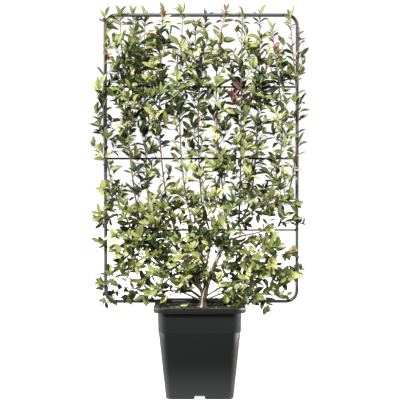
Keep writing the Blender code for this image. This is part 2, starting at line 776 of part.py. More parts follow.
def make_foliage(finish, lines, hard_parts):
    shoots = {mass.name: shoot_lines(mass, lines) for mass in FOLIAGE}
    room = Room(shoots, hard_tree(hard_parts))
    masses = []
    for index, foliage in enumerate(FOLIAGE):
        mass = Mass(foliage.name, room, random.Random(SEED + index))
        for points, radii in shoots[foliage.name]:
            mass.grow_shoot(points, radii)
        solid, closed = mass.join(finish)
        if not closed:
            bpy.data.objects.remove(solid, do_unlink=True)
            solid, closed = mass.join(finish, "MANIFOLD")
        if not closed:
            raise RuntimeError(f"{foliage.name} isn't closed")
        masses.append(solid)
    return masses


def main():
    clear_scene()
    plastic = material("pot_plastic", (0.020, 0.022, 0.024), 0.38)
    earth = material("soil", (0.050, 0.034, 0.022), 0.95)
    steel = material("frame_steel", (0.070, 0.078, 0.086), 0.42, 0.3)
    bark = material("bark", (0.230, 0.170, 0.115), 0.85)
    leaf = material("leaf", (0.085, 0.160, 0.035), 0.45)
    hard = [make_pot(plastic), make_soil(earth)]
    hard += make_frame(steel)
    limbs, lines = make_limbs(bark)
    hard += limbs
    make_foliage(leaf, lines, hard)


main()
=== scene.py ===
"""The finished looks of a photinia trained flat on an upright tube frame, in its square nursery pot.

Metres, +Z up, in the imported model's own frame. The tube frame stands in the plane Y = 0, with the
plant's limbs just in front of it, towards -Y, or just behind it. Twigs and leaves grow from the
limbs by one seeded rule, and keep to the room of the mass of foliage that they belong to.
"""

import json
import math
import random
from collections import defaultdict, namedtuple

import bmesh
import bpy
import numpy as np
from bpy.props import FloatProperty, FloatVectorProperty, IntProperty, PointerProperty
from mathutils import Matrix, Vector, noise
from mathutils.bvhtree import BVHTree

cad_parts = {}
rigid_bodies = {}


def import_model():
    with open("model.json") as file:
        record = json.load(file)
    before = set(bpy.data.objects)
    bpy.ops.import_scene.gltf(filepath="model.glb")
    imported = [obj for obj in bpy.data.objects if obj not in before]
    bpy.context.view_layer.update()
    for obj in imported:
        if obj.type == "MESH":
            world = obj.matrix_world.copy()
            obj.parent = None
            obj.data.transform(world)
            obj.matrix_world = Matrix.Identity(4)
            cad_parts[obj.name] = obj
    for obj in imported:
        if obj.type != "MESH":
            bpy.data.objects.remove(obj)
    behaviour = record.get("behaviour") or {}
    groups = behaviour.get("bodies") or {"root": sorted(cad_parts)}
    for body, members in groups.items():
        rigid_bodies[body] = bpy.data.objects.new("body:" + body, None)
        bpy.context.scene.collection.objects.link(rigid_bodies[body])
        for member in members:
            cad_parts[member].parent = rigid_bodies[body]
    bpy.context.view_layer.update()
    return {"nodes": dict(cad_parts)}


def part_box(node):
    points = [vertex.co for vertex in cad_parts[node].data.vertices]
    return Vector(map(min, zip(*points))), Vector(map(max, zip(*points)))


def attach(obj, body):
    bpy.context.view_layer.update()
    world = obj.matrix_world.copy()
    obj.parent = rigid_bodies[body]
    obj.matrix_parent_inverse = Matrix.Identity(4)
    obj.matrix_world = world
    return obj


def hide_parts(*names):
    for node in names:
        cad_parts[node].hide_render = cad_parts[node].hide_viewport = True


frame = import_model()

bl_info = {
    "name": "Potted Photinia",
    "version": (1, 0, 0),
    "blender": (4, 5, 0),
    "location": "View3D > Sidebar > Photinia",
    "description": "Dresses a potted photinia on its tube frame: pot, soil, tube, bark, twigs and leaves",
    "category": "Object",
}

BODY = "root"

POT_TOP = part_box("pot")[1].z
POT_LIP_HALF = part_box("pot")[1].x
SOIL_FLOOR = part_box("soil")[0].z
SOIL_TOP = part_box("soil")[1].z
TUBE_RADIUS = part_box("frame_left_post")[1].y
FRAME_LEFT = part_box("frame_left_post")[0].x + TUBE_RADIUS
FRAME_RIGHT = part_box("frame_right_post")[1].x - TUBE_RADIUS
FRAME_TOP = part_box("frame_top_rail")[1].z - TUBE_RADIUS
FRAME_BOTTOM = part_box("frame_bottom_rail")[0].z + TUBE_RADIUS
RODS = ("frame_rod_low", "frame_rod_middle", "frame_rod_high")

# Limbs run in front of the rods or behind them.
FRONT = -0.016
BACK = 0.015

# Steps between the points of a bough's path and of a shoot's, and a shoot's radii at its foot and tip
BOUGH_STEP = 0.050
SHOOT_STEP = 0.075
SHOOT_RADII = (0.0034, 0.0017)
GOLDEN_TURN = math.radians(137.5)

# The trunk, as the solids have it
TRUNK_FOOT = (0.014, -0.028)
TRUNK_TOP = (0.017, -0.026)
TRUNK_HEIGHT = 0.046
TRUNK_RADIUS = 0.0140
TRUNK_TIP_RADIUS = 0.0125
TRUNK_FLARE = 0.0050
TRUNK_FLARE_RATE = 5.0

# The room that foliage keeps to: how much nearer than its own shoots another mass's may be, how far
# and how often the border between the two sways, and the corners of the whole crown
OVERLAP = 0.036
SWAY = 0.022
SWAY_PITCH = 0.17
LOW_CORNER = (-0.452, -0.120, 0.320)
HIGH_CORNER = (0.448, 0.105, 1.608)

Bough = namedtuple("Bough", "name parent along tip lean lane radii")
Shoot = namedtuple("Shoot", "along tip lean")
Foliage = namedtuple("Foliage", "name bough lane shoots")
Tone = namedtuple("Tone", "upper under rib")
Leaf = namedtuple("Leaf", "lengths ratios")
Patch = namedtuple("Patch", "x z reach fullness shade")
Tint = namedtuple("Tint", "x z reach tone")

# Leans are in degrees from upright, positive towards +X, at the foot and at the tip.
BOUGHS = (
    Bough("bough_right_leader", "trunk", 0.80, (0.123, 0.665), (12, 24), FRONT, (0.0100, 0.0080)),
    Bough("bough_left_leader", "trunk", 0.85, (-0.127, 0.760), (-17, -14), FRONT, (0.0072, 0.0042)),
    Bough("bough_middle", "trunk", 0.95, (0.050, 0.636), (2, 14), FRONT, (0.0056, 0.0046)),
    Bough("bough_low_left", "trunk", 0.70, (-0.297, 0.710), (-56, -28), FRONT, (0.0056, 0.0036)),
    Bough("bough_outer_left", "bough_left_leader", 0.10, (-0.252, 0.740), (-50, -12), FRONT,
          (0.0060, 0.0040)),
    Bough("bough_left_fork", "bough_outer_left", 0.60, (-0.211, 0.780), (-16, -3), BACK, (0.0042, 0.0036)),
    Bough("bough_inner_left", "bough_middle", 0.60, (-0.035, 0.710), (-38, -14), FRONT, (0.0040, 0.0036)),
    Bough("bough_centre", "bough_middle", 1.00, (0.007, 0.800), (-14, -5), BACK, (0.0045, 0.0038)),
    Bough("bough_upright", "bough_right_leader", 1.00, (0.098, 0.810), (-20, 0), FRONT, (0.0062, 0.0042)),
    Bough("bough_right_arm", "bough_right_leader", 1.00, (0.178, 0.720), (40, 46), FRONT, (0.0068, 0.0056)),
    Bough("bough_arm_inner", "bough_right_arm", 0.72, (0.164, 0.800), (-4, 0), FRONT, (0.0044, 0.0036)),
    Bough("bough_arm_middle", "bough_right_arm", 1.00, (0.215, 0.820), (22, 8), BACK, (0.0044, 0.0036)),
    Bough("bough_arm_outer", "bough_right_arm", 1.00, (0.293, 0.835), (60, 34), FRONT, (0.0048, 0.0036)),
    Bough("bough_right_edge", "bough_arm_outer", 0.40, (0.365, 0.820), (72, 38), FRONT, (0.0038, 0.0034)),
    Bough("bough_right_side", "bough_right_leader", 0.84, (0.218, 0.656), (66, 80), FRONT, (0.0038, 0.0034)),
    Bough("bough_right_low", "bough_right_leader", 0.45, (0.148, 0.540), (66, 80), FRONT, (0.0036, 0.0034)),
    Bough("bough_foot_right", "trunk", 0.85, (0.143, 0.460), (58, 74), FRONT, (0.0038, 0.0034)),
    Bough("bough_foot_right_low", "trunk", 0.62, (0.118, 0.414), (74, 90), FRONT, (0.0036, 0.0034)),
    Bough("bough_foot_left", "trunk", 0.55, (-0.107, 0.422), (-74, -90), FRONT, (0.0036, 0.0034)),
    Bough("bough_left_side", "bough_low_left", 0.42, (-0.207, 0.550), (-72, -64), FRONT, (0.0036, 0.0034)),
    Bough("bough_inner_low", "bough_left_leader", 0.34, (-0.095, 0.592), (-52, -42), FRONT, (0.0036, 0.0034)),
    Bough("bough_inner_core", "bough_middle", 0.34, (-0.019, 0.555), (-38, -10), BACK, (0.0036, 0.0034)),
)

# The first shoot of a mass goes on from its bough's tip, and the rest fork from the first.
FOLIAGE = (
    Foliage("foliage_left_edge", "bough_low_left", FRONT, (
        Shoot(0.00, (-0.384, 1.540), (-30, 0)), Shoot(0.04, (-0.412, 0.720), (-84, -60)))),
    Foliage("foliage_left", "bough_outer_left", FRONT, (Shoot(0.00, (-0.325, 1.545), (-10, -3)),)),
    Foliage("foliage_left_inner", "bough_left_fork", BACK, (
        Shoot(0.00, (-0.222, 1.540), (-3, 4)), Shoot(0.45, (-0.275, 1.555), (-12, -4)))),
    Foliage("foliage_centre_left", "bough_left_leader", FRONT, (Shoot(0.00, (-0.150, 1.550), (-12, 3)),)),
    Foliage("foliage_inner_left", "bough_inner_left", FRONT, (Shoot(0.00, (-0.069, 1.555), (-14, 2)),)),
    Foliage("foliage_centre", "bough_centre", BACK, (
        Shoot(0.00, (0.025, 1.540), (-5, 8)), Shoot(0.62, (-0.019, 1.510), (-14, -4)))),
    Foliage("foliage_upright", "bough_upright", FRONT, (Shoot(0.00, (0.105, 1.565), (-7, 14)),)),
    Foliage("foliage_arm_inner", "bough_arm_inner", FRONT, (Shoot(0.00, (0.175, 1.550), (2, 2)),)),
    Foliage("foliage_arm_middle", "bough_arm_middle", BACK, (Shoot(0.00, (0.249, 1.550), (8, 2)),)),
    Foliage("foliage_arm_outer", "bough_arm_outer", FRONT, (Shoot(0.00, (0.295, 1.490), (24, -6)),)),
    Foliage("foliage_right_edge", "bough_right_edge", FRONT, (
        Shoot(0.00, (0.369, 1.540), (16, -4)), Shoot(0.60, (0.408, 1.490), (12, 4)))),
    Foliage("foliage_right_side", "bough_right_side", FRONT, (Shoot(0.00, (0.383, 0.710), (76, 64)),)),
    Foliage("foliage_right_low", "bough_right_low", FRONT, (Shoot(0.00, (0.378, 0.580), (84, 76)),)),
    Foliage("foliage_foot_right", "bough_foot_right", FRONT, (Shoot(0.00, (0.378, 0.494), (80, 80)),)),
    Foliage("foliage_foot_right_low", "bough_foot_right_low", FRONT, (
        Shoot(0.00, (0.363, 0.404), (92, 90)),)),
    Foliage("foliage_foot_left", "bough_foot_left", FRONT, (Shoot(0.00, (-0.392, 0.452), (-92, -78)),)),
    Foliage("foliage_left_side", "bough_left_side", FRONT, (Shoot(0.00, (-0.392, 0.610), (-66, -70)),)),
    Foliage("foliage_inner_low", "bough_inner_low", FRONT, (Shoot(0.00, (-0.165, 0.760), (-48, -6)),)),
    Foliage("foliage_inner_core", "bough_inner_core", BACK, (Shoot(0.00, (-0.041, 0.675), (-12, -10)),)),
)

# The stretch without twigs at a bough's foot, where it leaves another bough, where it leaves the
# trunk, and on the leader to the right
BARE_FOOT = 0.020
BARE_FOOT_AT_TRUNK = 0.030
BARE_LEADER = 0.160

# How far a twig turns upwards as it grows, the height below which twigs hang over, and how many do
# among the low leaves above that
RISE = (0.15, 0.65)
DROOP = (-0.78, 0.32)
DROOP_BELOW = 0.430
LOW_DROOPS = 0.30

# The stretch at a shoot's tip that has leaves but no twigs
BARE_TIP = 0.100
BARE_LOW_TIP = 0.020

# At each height, how full the crown is and how shaded: more than 1 is more than one twig at a node,
# and shade runs from -1, in the open, to 1. This shade is painted into the leaves' colours: darker in
# the shade, lighter in the open.
HEIGHTS = ((0.32, 0.02, 0.2), (0.36, 0.10, 0.3), (0.40, 0.66, 0.1), (0.60, 0.64, 0.0), (0.72, 0.64, 0.0),
           (0.80, 0.55, -0.2), (0.90, 0.58, -0.4), (0.97, 0.74, -0.4), (1.03, 0.84, -0.2), (1.14, 0.92, 0.1),
           (1.28, 0.96, 0.2), (1.38, 0.90, 0.1), (1.43, 0.46, -0.2), (1.62, 0.50, -0.4))

# Beyond the posts the crown thins out: how full it is at each place across, as a share
ACROSS = ((-0.452, 0.02), (-0.420, 0.04), (-0.395, 0.16), (-0.368, 0.9), (0.340, 1.0), (0.380, 0.50),
          (0.443, 0.10))

# Places that are fuller or thinner than their height, and darker or lighter, as painted shade and painted
# light in the leaves' colours
PATCHES = [Patch(*row) for row in (
    (-0.340, 0.540, 0.16, 0.0, 0.8), (0.270, 0.520, 0.13, 0.0, -0.6), (0.020, 1.270, 0.20, 0.0, 0.9),
    (-0.345, 1.160, 0.14, 0.70, -0.2), (-0.360, 0.985, 0.05, 0.60, 0.0), (-0.360, 0.730, 0.07, 0.90, 0.1),
    (-0.250, 0.530, 0.09, 0.60, 0.0), (-0.085, 0.560, 0.08, -0.45, 0.0),
    (0.065, 0.545, 0.060, -0.90, 0.0), (0.175, 0.540, 0.06, 0.20, 0.0), (-0.337, 0.455, 0.05, 0.20, 0.0),
    (-0.200, 0.970, 0.06, -0.20, -0.2), (-0.085, 1.140, 0.05, 0.40, 0.2),
    (0.030, 0.420, 0.030, -0.70, 0.0), (0.115, 0.460, 0.05, 0.30, 0.2), (-0.170, 0.440, 0.06, 0.50, 0.2),
    (0.130, 0.440, 0.08, 0.60, 0.0), (0.130, 0.700, 0.08, 0.60, 0.0), (0.000, 0.800, 0.09, 0.40, 0.0),
    (0.090, 0.890, 0.06, 0.45, -0.2), (0.230, 1.310, 0.12, 0.20, 0.2), (-0.390, 0.440, 0.09, 0.80, 0.2),
    (-0.080, 0.385, 0.08, 0.50, 0.3), (-0.245, 0.610, 0.08, 0.20, 0.9), (0.203, 0.800, 0.06, 0.0, 0.6),
    (0.200, 0.970, 0.09, 0.50, 0.0), (0.270, 0.860, 0.10, -0.30, -0.2), (0.183, 0.590, 0.08, 0.20, -0.6),
    (0.350, 0.560, 0.12, 0.60, -0.4), (0.330, 0.420, 0.08, 0.10, -0.8), (0.190, 0.395, 0.06, 0.10, 0.8),
    (-0.337, 0.890, 0.05, -0.20, -0.2), (0.370, 0.370, 0.05, -0.60, 0.0),
    (-0.347, 0.600, 0.05, -0.30, 0.0),
)]

# Where sprays of another colour grow
TINTS = [Tint(*row) for row in (
    (-0.150, 1.574, 0.05, "red"), (0.104, 1.574, 0.05, "red"), (0.174, 1.512, 0.05, "bronze"),
    (-0.031, 1.512, 0.03, "red"), (0.297, 1.442, 0.04, "red"), (0.392, 1.475, 0.04, "red"),
    (-0.356, 1.368, 0.03, "red"), (0.149, 1.212, 0.05, "maroon"), (0.104, 1.130, 0.03, "maroon"),
    (0.351, 0.572, 0.03, "bronze"), (-0.335, 0.933, 0.03, "red"), (-0.196, 0.794, 0.03, "bronze"),
    (-0.347, 0.736, 0.03, "red"),
)]

# The share of the sprays at such a place that have its colour
TINT_SHARE = 0.7

# Each tone's colour on a leaf's upper side, on its under side and along its rib. The darker greens,
# most of all deep, also stand in for painted shade inside the crown, and the lighter ones for painted
# light in the open. The under sides are paler, as on the real leaf, and lighter still as painted light
# shining through the leaf.
TONES = {
    "deep": Tone((0.006, 0.012, 0.003), (0.040, 0.060, 0.023), (0.030, 0.048, 0.014)),
    "dark": Tone((0.034, 0.054, 0.012), (0.108, 0.133, 0.048), (0.082, 0.114, 0.032)),
    "mid": Tone((0.116, 0.147, 0.037), (0.176, 0.200, 0.080), (0.172, 0.206, 0.067)),
    "fresh": Tone((0.220, 0.250, 0.076), (0.264, 0.280, 0.118), (0.292, 0.306, 0.110)),
    "lime": Tone((0.326, 0.350, 0.130), (0.350, 0.360, 0.170), (0.405, 0.410, 0.175)),
    "bronze": Tone((0.190, 0.130, 0.065), (0.230, 0.170, 0.095), (0.300, 0.140, 0.090)),
    "red": Tone((0.300, 0.120, 0.085), (0.300, 0.160, 0.115), (0.360, 0.110, 0.085)),
    "maroon": Tone((0.085, 0.030, 0.024), (0.150, 0.070, 0.055), (0.200, 0.070, 0.055)),
}
GREENS = ("deep", "dark", "mid", "fresh", "lime")

# Chances of each tone, for a spray in the shade, in the open, low in the open and at a shoot's tip,
# and for the small leaves at a twig's tip. The darker tones in the shade are painted shade, and the
# lighter tones in the open are painted light.
SHADE_CHANCES = (("deep", 34), ("dark", 26), ("mid", 24), ("fresh", 15), ("lime", 1))
OPEN_CHANCES = (("deep", 14), ("dark", 13), ("mid", 29), ("fresh", 33), ("lime", 11))
LOW_CHANCES = (("deep", 10), ("dark", 18), ("mid", 38), ("fresh", 30), ("lime", 4))
TIP_CHANCES = (("dark", 14), ("mid", 26), ("fresh", 28), ("lime", 16), ("bronze", 11), ("red", 5))
YOUNG_CHANCES = (("lime", 30), ("fresh", 45), ("bronze", 16), ("red", 9))

# Lengths of leaves, and their widths as shares of that, by where they grow
TOP_LEAF = Leaf((0.029, 0.057), (0.35, 0.47))
TIP_LEAF = Leaf((0.027, 0.054), (0.28, 0.40))
GROWN_LEAF = Leaf((0.026, 0.052), (0.38, 0.50))
LOW_LEAF = Leaf((0.026, 0.045), (0.46, 0.60))
YOUNG_LEAF = Leaf((0.014, 0.027), (0.28, 0.38))

# Heights below which leaves are broad, below which sprays in the open take the calmer colours, and
# above which leaves are long
LOW_LEAVES_BELOW = 0.64
CALM_BELOW = 0.88
TOP_LEAVES_ABOVE = 1.12

# Leaves of these tones are smaller than the rest, as a share
LEAF_SIZES = {"red": 0.6, "bronze": 0.75}

# How much longer than usual the longest twigs on the low limbs are
LOW_TWIGS = 1.40


# Settings that a user would change

def length(name, description, default):
    return FloatProperty(name=name, description=description, default=default, min=0.0, max=10.0,
                         unit="LENGTH", subtype="DISTANCE", precision=4)


def share(name, description, default):
    return FloatProperty(name=name, description=description, default=default, min=0.0, max=1.0,
                         subtype="FACTOR")


def number(name, description, default):
    return FloatProperty(name=name, description=description, default=default)


def whole_number(name, description, default):
    return IntProperty(name=name, description=description, default=default, min=0)


def colour(name, description, default):
    return FloatVectorProperty(name=name, description=description, default=default, min=0.0, max=1.0,
                               size=3, subtype="COLOR")


class PotSettings(bpy.types.PropertyGroup):
    base_half: length("Base half width", "Half the pot's width at its foot", 0.1355)
    body_half: length("Body half width", "Half the pot's width under its collar", 0.1640)
    collar_half: length("Collar half width", "Half the collar's width at its foot", 0.1656)
    neck_half: length("Neck half width", "Half the collar's width under the lip", 0.1672)
    collar_low: length("Collar height", "Height of the step up to the collar", 0.270)
    lip_height: length("Lip height", "Height of the turned-over lip", 0.021)
    wall: length("Wall", "Thickness of the pot's wall and lip", 0.003)
    floor: length("Floor", "Thickness of the pot's floor", 0.004)
    corner: length("Corner radius", "Radius of the pot's corners at its foot", 0.028)
    notch: length("Notch depth", "How far each drain notch runs in under the pot", 0.066)
    notch_height: length("Notch height", "Height of a drain notch", 0.014)
    notch_low: length("Notch width below", "Half a drain notch's width at the foot", 0.0255)
    notch_high: length("Notch width above", "Half a drain notch's width at its top", 0.0200)
    plastic: colour("Plastic", "Colour of the pot's lip and collar", (0.0108, 0.0120, 0.0124))
    body: colour("Body", "Colour of the pot under its collar", (0.0074, 0.0082, 0.0087))
    dust: colour("Dust", "Colour of the dust on the pot", (0.0140, 0.0152, 0.0154))
    # Lighter towards the pot's foot: dust, and a painted reflection of the pale floor.
    foot_dust_and_floor_reflection: colour("Haze", "Colour of the dust that gathers towards the pot's foot", (0.0250, 0.0275, 0.0290))
    gloss: share("Roughness", "Roughness of the plastic", 0.31)


class SoilSettings(bpy.types.PropertyGroup):
    edge: length("Edge height", "Height of the soil along the pot's wall", 0.3505)
    lump: length("Lump height", "Height of the soil's lumps", 0.0055)
    chips: whole_number("Chips", "Number of bark chips and crumbs", 700)
    straws: whole_number("Straws", "Number of straws and fibres", 24)
    grains: whole_number("White grains", "Number of white grains", 70)
    # The earth and the chips have the compost's own dark colours, darkened further as painted shade from the
    # foliage and the pot's wall.
    earth: colour("Earth", "Colour of the soil", (0.0050, 0.0038, 0.0030))
    chip: colour("Chip", "Colour of the bark chips", (0.0150, 0.0092, 0.0062))
    straw: colour("Straw", "Colour of the straw", (0.220, 0.165, 0.100))


class TubeSettings(bpy.types.PropertyGroup):
    bend: length("Bend radius", "Radius of the tube's bends, along its middle", 0.045)
    rod_radius: length("Rod radius", "Radius of the thin rods", 0.0037)
    weld: length("Weld size", "Radius of the weld bead where a rod meets a post", 0.0050)
    paint: colour("Paint", "Colour of the tube", (0.070, 0.078, 0.082))
    # Painted shade: the tube's lowest stretch is darkened for the shade that the foliage casts on it.
    painted_low_shade: colour("Low paint", "Colour of the tube's dull lowest stretch", (0.030, 0.034, 0.036))
    wire: colour("Wire", "Colour of the rods", (0.0020, 0.0022, 0.0026))


class LimbSettings(bpy.types.PropertyGroup):
    ring_step: length("Ring step", "Distance between rings along a limb", 0.0050)
    relief: share("Relief", "Depth of the bark's relief, as a share of the limb's radius", 0.11)
    old_bark: colour("Old bark", "Colour of the trunk and the thick limbs", (0.380, 0.315, 0.225))
    old_cracks: colour("Cracks", "Colour in the cracks of old bark", (0.036, 0.024, 0.017))
    young_bark: colour("Young bark", "Colour of the thinner limbs", (0.130, 0.095, 0.070))
    young_cracks: colour("Young cracks", "Colour of the spots on young bark", (0.060, 0.036, 0.027))


class LeafSettings(bpy.types.PropertyGroup):
    seed: whole_number("Seed", "Seed of the rule that grows twigs and leaves", 41)
    node_step: length("Node step", "Distance between the places where twigs can grow on a shoot", 0.021)
    leaf_step: length("Leaf step", "Distance between leaves on a twig", 0.0105)
    twig_low: length("Shortest twig", "Length of the shortest twigs", 0.025)
    twig_high: length("Longest twig", "Length of the longest twigs", 0.088)
    petiole: length("Leaf stalk", "Length of a leaf's stalk", 0.006)
    gloss: share("Roughness", "Roughness of the leaves' upper side", 0.34)
    brown_stem: colour("Brown stem", "Colour of grown shoots", (0.090, 0.062, 0.046))
    red_stem: colour("Red stem", "Colour of young shoots", (0.190, 0.110, 0.080))
    green_stem: colour("Green stem", "Colour of leaf stalks", (0.300, 0.290, 0.100))


class StageSettings(bpy.types.PropertyGroup):
    lens: number("Lens", "Focal length of the camera, in millimetres", 94.5)
    distance: length("Distance", "From the tube frame to the camera", 4.31)
    height: length("Height", "Height of the camera", 0.884)
    side: length("Side", "How far the camera is to the right of the pot's middle", 0.0016)
    tilt: number("Tilt", "How far the camera looks down, in degrees", 1.2)
    key: number("Key light", "Strength of the main light", 8.6)
    sky: number("Sky light", "Strength of the light from all round", 0.36)
    walls: number("Walls", "Brightness of the walls in reflections", 0.50)
    side_walls: number("Side walls", "The same, for the walls at the sides", 4.2)


# Shared shader groups and materials

def add_node(tree, kind, inputs=None, **settings):
    """A new shader node. Each input takes a value, or the output socket that feeds it."""
    node = tree.nodes.new(f"ShaderNode{kind}")
    for setting, value in settings.items():
        setattr(node, setting, value)
    for socket, value in (inputs or {}).items():
        if isinstance(value, bpy.types.NodeSocket):
            tree.links.new(value, node.inputs[socket])
        else:
            node.inputs[socket].default_value = value
    return node


def smooth_step(tree, value, start, end, low=0.0, high=1.0):
    """A number that runs smoothly from low to high while the value runs from start to end."""
    inputs = {"Value": value, "From Min": start, "From Max": end, "To Min": low, "To Max": high}
    return add_node(tree, "MapRange", inputs, interpolation_type="SMOOTHSTEP").outputs["Result"]


def calculate(tree, operation, *values):
    """The result of a Math node on these values."""
    return add_node(tree, "Math", dict(enumerate(values)), operation=operation).outputs[0]


def mixed(tree, factor, first, second):
    """The first colour where the factor is 0, and the second where it is 1."""
    inputs = {"Factor": factor, "A": first, "B": second}
    return add_node(tree, "Mix", inputs, data_type="RGBA").outputs["Result"]


def shader_group(name, inputs, outputs):
    """An empty group with these sockets: name to type for both, and its two end nodes."""
    group = bpy.data.node_groups.new(name, "ShaderNodeTree")
    for way, sockets in (("INPUT", inputs), ("OUTPUT", outputs)):
        for socket, kind in sockets.items():
            group.interface.new_socket(name=socket, in_out=way, socket_type=f"NodeSocket{kind}")
    return group, group.nodes.new("NodeGroupInput"), group.nodes.new("NodeGroupOutput")


def speckle_group():
    """Spots of one colour on a ground of another."""
    found = bpy.data.node_groups.get("Speckle")
    if found:
        return found
    inputs = {"Vector": "Vector", "Scale": "Float", "Cover": "Float", "Softness": "Float",
              "Ground": "Color", "Spots": "Color"}
    group, start, end = shader_group("Speckle", inputs, {"Color": "Color"})
    given = start.outputs
    texture = add_node(group, "TexNoise", {"Vector": given["Vector"], "Scale": given["Scale"], "Detail": 4.0})
    low = calculate(group, "SUBTRACT", 0.85, given["Cover"])
    high = calculate(group, "ADD", low, given["Softness"])
    mask = smooth_step(group, texture.outputs["Fac"], low, high)
    group.links.new(mixed(group, mask, given["Ground"], given["Spots"]), end.inputs["Color"])
    return group


def grain_group():
    """Fine grain: a height for bump, and a roughness that varies between two values."""
    found = bpy.data.node_groups.get("Grain")
    if found:
        return found
    inputs = {"Vector": "Vector", "Scale": "Float", "Low": "Float", "High": "Float"}
    group, start, end = shader_group("Grain", inputs, {"Roughness": "Float", "Height": "Float"})
    given = start.outputs
    texture = add_node(group, "TexNoise", {"Vector": given["Vector"], "Scale": given["Scale"], "Detail": 3.0})
    spread = add_node(group, "MapRange", {"Value": texture.outputs["Fac"], "From Min": 0.3, "From Max": 0.7,
                                          "To Min": given["Low"], "To Max": given["High"]})
    group.links.new(spread.outputs["Result"], end.inputs["Roughness"])
    group.links.new(texture.outputs["Fac"], end.inputs["Height"])
    return group


Grain = namedtuple("Grain", "scale depth")
Spots = namedtuple("Spots", "color scale cover softness", defaults=(0.35, 0.22))


def new_finish(name, color, roughness, grain, spots=None, specular=0.5, metallic=0.0, attribute=None):
    """A material with fine grain, and with spots of a second colour where they are given.

    roughness is the lowest and highest roughness. The pattern follows the named vector
    attribute, or else the object's own coordinates.
    """
    material = bpy.data.materials.new(name)
    material.use_nodes = True
    tree = material.node_tree
    shader = tree.nodes["Principled BSDF"]
    shader.inputs["Base Color"].default_value = (*color, 1.0)
    shader.inputs["Metallic"].default_value = metallic
    shader.inputs["Specular IOR Level"].default_value = specular
    if attribute:
        vector = add_node(tree, "Attribute", attribute_name=attribute).outputs["Vector"]
    else:
        vector = add_node(tree, "TexCoord").outputs["Object"]
    low, high = roughness
    inputs = {"Vector": vector, "Scale": grain.scale, "Low": low, "High": high}
    fine = add_node(tree, "Group", inputs, node_tree=grain_group())
    bump = add_node(tree, "Bump", {"Distance": grain.depth, "Height": fine.outputs["Height"]})
    tree.links.new(fine.outputs["Roughness"], shader.inputs["Roughness"])
    tree.links.new(bump.outputs["Normal"], shader.inputs["Normal"])
    if spots:
        inputs = {"Vector": vector, "Scale": spots.scale, "Cover": spots.cover, "Softness": spots.softness,
                  "Ground": (*color, 1.0), "Spots": (*spots.color, 1.0)}
        speckle = add_node(tree, "Group", inputs, node_tree=speckle_group())
        tree.links.new(speckle.outputs["Color"], shader.inputs["Base Color"])
    return material


def scaled(color, factor):
    """A darker or lighter colour."""
    return [min(part * factor, 1.0) for part in color]


def fade_upwards(material, color, low, high):
    """Lays a second colour over a finish, full at the low height and gone at the high one."""
    tree = material.node_tree
    base = tree.nodes["Principled BSDF"].inputs["Base Color"]
    place = add_node(tree, "TexCoord")
    parts = add_node(tree, "SeparateXYZ", {"Vector": place.outputs["Object"]})
    fade = smooth_step(tree, parts.outputs["Z"], low, high, 1.0, 0.0)
    tree.links.new(mixed(tree, fade, base.links[0].from_socket, (*color, 1.0)), base)


# The gloss along the pot's corners: its roughness and index, and how far a surface has to turn away
# for it to start and to be full
EDGE_ROUGHNESS = 0.22
EDGE_IOR = 2.5
EDGE_FROM = 0.01
EDGE_FULL = 0.40


def gloss_at_edges(material):
    """Gives a finish a gloss coat that shows only where the surface turns away, as on dusty plastic."""
    tree = material.node_tree
    shader = tree.nodes["Principled BSDF"]
    shader.inputs["Coat Roughness"].default_value = EDGE_ROUGHNESS
    shader.inputs["Coat IOR"].default_value = EDGE_IOR
    turned = add_node(tree, "LayerWeight", {"Blend": 0.5})
    coat = smooth_step(tree, turned.outputs["Facing"], EDGE_FROM, EDGE_FULL)
    tree.links.new(coat, shader.inputs["Coat Weight"])


# Making pieces

def dress(name, mesh, finishes, replaced=()):
    """Puts a finished mesh in the scene as a piece of the plant."""
    piece = bpy.data.objects.new(name, mesh)
    bpy.context.scene.collection.objects.link(piece)
    for finish in finishes:
        mesh.materials.append(finish)
    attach(piece, BODY)
    if replaced:
        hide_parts(*replaced)


def smoothed(mesh, sharp=None):
    """The mesh with smooth faces, and with edges kept sharp past an angle in degrees."""
    mesh.shade_smooth()
    if sharp is not None:
        mesh.set_sharp_from_angle(angle=math.radians(sharp))
    return mesh


def mesh_from(bm, name):
    """The bmesh as a mesh with smooth faces that point outwards."""
    bmesh.ops.recalc_face_normals(bm, faces=bm.faces)
    mesh = bpy.data.meshes.new(name)
    bm.to_mesh(mesh)
    bm.free()
    return smoothed(mesh)


def vertices_and_edges(parts):
    """The vertices and the edges among the parts that a bmesh operator gives back."""
    return ([part for part in parts if isinstance(part, bmesh.types.BMVert)],
            [part for part in parts if isinstance(part, bmesh.types.BMEdge)])


def extrude_rim(bm, rim):
    """Extrudes a rim of edges where it is, and gives the new rim's vertices and edges."""
    return vertices_and_edges(bmesh.ops.extrude_edge_only(bm, edges=rim)["geom"])


def corners_and_faces(bm):
    """A bmesh as arrays: corners, faces and the finish of each face."""
    bm.verts.index_update()
    corners = np.array([vert.co[:] for vert in bm.verts])
    faces = [tuple(vert.index for vert in face.verts) for face in bm.faces]
    finishes = [face.material_index for face in bm.faces]
    bm.free()
    return corners, faces, finishes


class Pile:
    """Many small meshes joined in one: corners, faces, the finish of each face, and a grain."""

    def __init__(self):
        self.corners = []
        self.faces = []
        self.finishes = []
        self.grain = []
        self.count = 0

    def add(self, corners, faces, finishes, grain=None):
        self.corners.append(corners)
        self.faces += [tuple(corner + self.count for corner in face) for face in faces]
        self.finishes += finishes
        if grain is not None:
            self.grain.append(grain)
        self.count += len(corners)

    def add_bmesh(self, bm, grain=None):
        bmesh.ops.recalc_face_normals(bm, faces=bm.faces)
        self.add(*corners_and_faces(bm), grain)

    def mesh(self, name, sharp=None):
        mesh = bpy.data.meshes.new(name)
        mesh.from_pydata(np.concatenate(self.corners).tolist(), [], self.faces)
        mesh.polygons.foreach_set("material_index", self.finishes)
        if self.grain:
            layer = mesh.attributes.new("grain", "FLOAT_VECTOR", "POINT")
            layer.data.foreach_set("vector", np.concatenate(self.grain).astype(np.float32).ravel())
        return smoothed(mesh, sharp)


